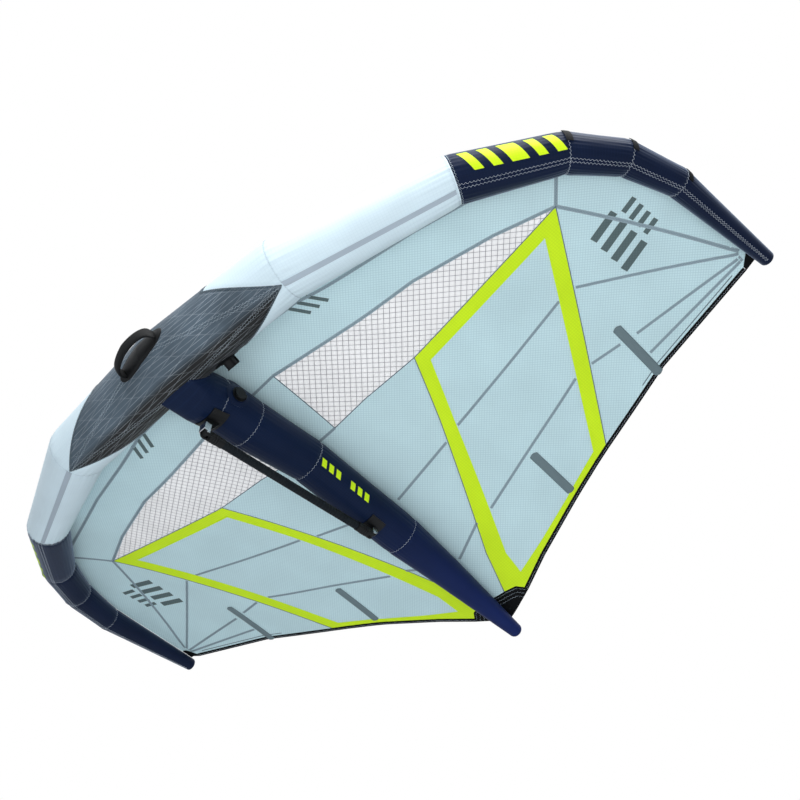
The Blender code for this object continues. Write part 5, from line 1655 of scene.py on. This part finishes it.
PATCH_LIFT, PATCH_THICKNESS = 0.0006, 0.0008
TAB_LIFT, TAB_THICKNESS = 0.0010, 0.0014
PRINT_LIFT, PRINT_THICKNESS = 0.0007, 0.0003
TIP_BARS = ((0.030, 0.028), (0.085, 0.028), (0.140, 0.050), (0.217, 0.028), (0.272, 0.028))
STRUT_BARS = (0.02, 0.052, 0.084, 0.15, 0.182, 0.214)


def cloth_patch(name, tube, side, station, degrees, borders, cloth, lift, thickness):
    declare_cloth(laid_patch(name, tube, side, station, degrees, borders, cloth, lift, thickness))


def printed_bar(name, tube, side, station, degrees, borders):
    made = laid_patch(name, tube, side, station, degrees, borders, "lime_cloth", PRINT_LIFT, PRINT_THICKNESS)
    on_wing(made)


cloth_patch("leading_edge_valve_patch", LEADING, 1, 0.337, -21, ring_borders(0.046, 0.0262), "black_webbing",
            PATCH_LIFT, PATCH_THICKNESS)
cloth_patch("strut_valve_patch", STRUT, 1, 1.0, -9, ring_borders(0.040, 0.0262), "navy_cloth",
            PATCH_LIFT, PATCH_THICKNESS)
for side, word in WORDS:
    for number, station in enumerate((3.03, 4.03, 5.03), 1):
        cloth_patch(f"seam_tab_{number}_{word}", LEADING, side, station, 182,
                    bar_borders(0.018, 0.056, 0.0, -0.009, -0.028), "black_webbing", TAB_LIFT, TAB_THICKNESS)
    for number, (start, length) in enumerate(TIP_BARS, 1):
        printed_bar(f"tip_bar_{number}_{word}", LEADING, side, 2.0, 203,
                    bar_borders(length, 0.075, 0.030, start, -0.038))
for number, start in enumerate(STRUT_BARS, 1):
    printed_bar(f"strut_bar_{number}", STRUT, 1, 3.0, -34,
                bar_borders(0.020, 0.024, -0.010, start, -0.012, 3))
print("patches, tabs and bars:", len([o for o in bpy.data.objects if "_bar_" in o.name or "tab" in o.name]))


# %% Printed bars under the canopy
def slanted(x, y, length, height, turn_degrees):
    """A bar as seen from above, by its middle."""
    lean = math.radians(turn_degrees)
    along = np.array((math.cos(lean), math.sin(lean)))
    across = np.array((-math.sin(lean), math.cos(lean)))
    middle = place(x, y)
    corners = ((-0.5, -0.5), (0.5, -0.5), (0.5, 0.5), (-0.5, 0.5))
    return [middle + along * length * a + across * height * b for a, b in corners]


PRINTS = {
    "panel_bars": [slanted(1.165, -0.868 + 0.050 * n, 0.105, 0.026, -12) for n in range(4)],
    "panel_blocks": [slanted(1.262, -0.862 + 0.036 * n, 0.055, 0.018, -12) for n in range(4)],
    "nose_bars": [slanted(0.378 + 0.035 * n, -1.395 + 0.004 * n, 0.070, 0.013, 62) for n in (0, 1, 2)],
}
for side, word in WORDS:
    for name, outlines in PRINTS.items():
        made = canopy_piece(f"{name}_{word}", outlines, side, CLOTHS["print_grey"],
                            thickness=0.0002, drop=0.0008, pitch=0.03)
        on_wing(made)
print("printed groups:", len(PRINTS) * 2)


# %% Tape along the white tubes
TUBE_TAPE_WIDTH = 0.020
TAPED_RADIUS, METRES_PER_DEGREE = 0.105, 0.00183


def tube_tape(name, side, start, end):
    """A long tape laid on the leading edge's lower front."""
    rows, columns = 90, 5
    half = TUBE_TAPE_WIDTH / 2
    station = np.linspace(start, end, rows)[:, None]
    turned = LENS_POINT_DEGREES + np.degrees(np.linspace(-half, half, columns) / TAPED_RADIUS)[None, :]
    points, along = LEADING.skin(station, turned, pucker(LEADING, station, turned, (1, 2)) + 0.0005)
    uv = np.stack((along, np.broadcast_to(turned, along.shape) * METRES_PER_DEGREE), -1)
    made = mesh_piece(name, (points * (side, 1, 1)).reshape(-1, 3), grid_faces(rows, columns),
                      CLOTHS["pale_tape"], uv.reshape(-1, 2))
    face_away(made, Vector(LEADING.centres[1:3].mean(0) * (side, 1, 1)))
    thicken(made, 0.0006, 1.0)
    declare_cloth(made, flat=(TUBE_TAPE_WIDTH, float(along[-1, 0] - along[0, 0])))


for side, word in WORDS:
    tube_tape(f"leading_edge_tape_{word}", side, 1.0, 1.985)
print("sheets in all:", len(SHEETS))

# %% [markdown]
# ## Front handle
#
# The handle is a strap bent into an arch over a thick oval plate. The plate is thin at its rim and
# follows the round of the tube. Both are given in metres across the tube and round it, from one
# spot on the front, so they wrap the cloth wherever the spot is.

# %% Handle
HANDLE_SPOT = 207.0
HANDLE_TURN = math.radians(14)
PLATE_LENGTH, PLATE_WIDTH = 0.1025, 0.036
PLATE_RINGS = (
    (0.0, 0.0006), (0.5, 0.0006), (1.0, 0.0006), (1.015, 0.0022), (0.995, 0.0036), (0.955, 0.0042),
    (0.93, 0.0034), (0.90, 0.0042), (0.6, 0.0056), (0.3, 0.0060), (0.0, 0.0060),
)
STRAP_REACH, STRAP_RISE, STRAP_LIFT = 0.076, 0.050, 0.0065
STRAP_LOWEST = 0.0056


def handle_place(across, round_way, lift):
    """A place by metres across the tube and round it from the handle's spot, and its height."""
    across, round_way, lift = np.broadcast_arrays(*(np.asarray(v, float) for v in (across, round_way, lift)))
    turned_across = across * math.cos(HANDLE_TURN) + round_way * math.sin(HANDLE_TURN)
    turned_round = round_way * math.cos(HANDLE_TURN) - across * math.sin(HANDLE_TURN)
    station = np.abs(turned_across) / LEADING.lengths[0]
    points, _ = LEADING.skin(station, HANDLE_SPOT + np.degrees(turned_round / LEADING_RADIUS), lift)
    points[..., 0] = np.copysign(points[..., 0], turned_across)
    return points


def handle_plate():
    """An oval plate, thin at its rim and domed in the middle."""
    corners = 64
    turn = np.arange(corners) * math.tau / corners
    rings = []
    for share, lift in PLATE_RINGS:
        wide = PLATE_WIDTH * share * (1 + 0.10 * np.cos(2 * turn))
        rings.append(handle_place(PLATE_LENGTH * share * np.cos(turn), wide * np.sin(turn), lift))
    faces = grid_faces(len(rings), corners, closed=True)
    made = mesh_piece("handle_base_moulding", np.concatenate(rings), faces, HARD["moulded_black"])
    edit_mesh(made, weld, turn_out)
    return made


def squared(wave):
    """A sine or cosine with fuller shoulders."""
    return np.sign(wave) * np.abs(wave) ** 0.7


def handle_arch():
    """A padded strap: flat and wide at its feet, rounder where the hand holds it."""
    rows, corners = 56, 20
    share = np.linspace(0, math.pi, rows)[:, None]
    across = STRAP_REACH * np.cos(share)
    height = STRAP_LIFT + STRAP_RISE * np.sin(share) ** 0.6
    run = np.gradient(across, axis=0)
    climb = np.gradient(height, axis=0)
    length = np.hypot(run, climb)
    foot = np.abs(np.cos(share)) ** 8
    around = np.arange(corners) * math.tau / corners
    deep = squared(np.cos(around)) * (0.0058 - 0.0022 * foot)
    broad = squared(np.sin(around)) * (0.0125 + 0.0060 * foot)
    off_height = np.maximum(height - deep * run / length, STRAP_LOWEST)
    loops = handle_place(across + deep * climb / length, broad, off_height)
    last = (rows - 1) * corners
    faces = grid_faces(rows, corners, closed=True)
    faces += [tuple(range(corners)), tuple(range(last, last + corners))]
    return closed_piece("handle_strap", loops.reshape(-1, 3), faces, HARD["strap"])


for made, node in ((handle_plate(), "handle_base"), (handle_arch(), "handle_grip")):
    on_wing(made)
    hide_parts(node)
print("handle pieces: 2")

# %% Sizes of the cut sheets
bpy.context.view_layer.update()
for name, flat, area in SHEETS:
    width, length, area = (round(float(value), 4) for value in (*flat, area))
    print("sheet", name, "cut", width, "x", length, "m, area", area)
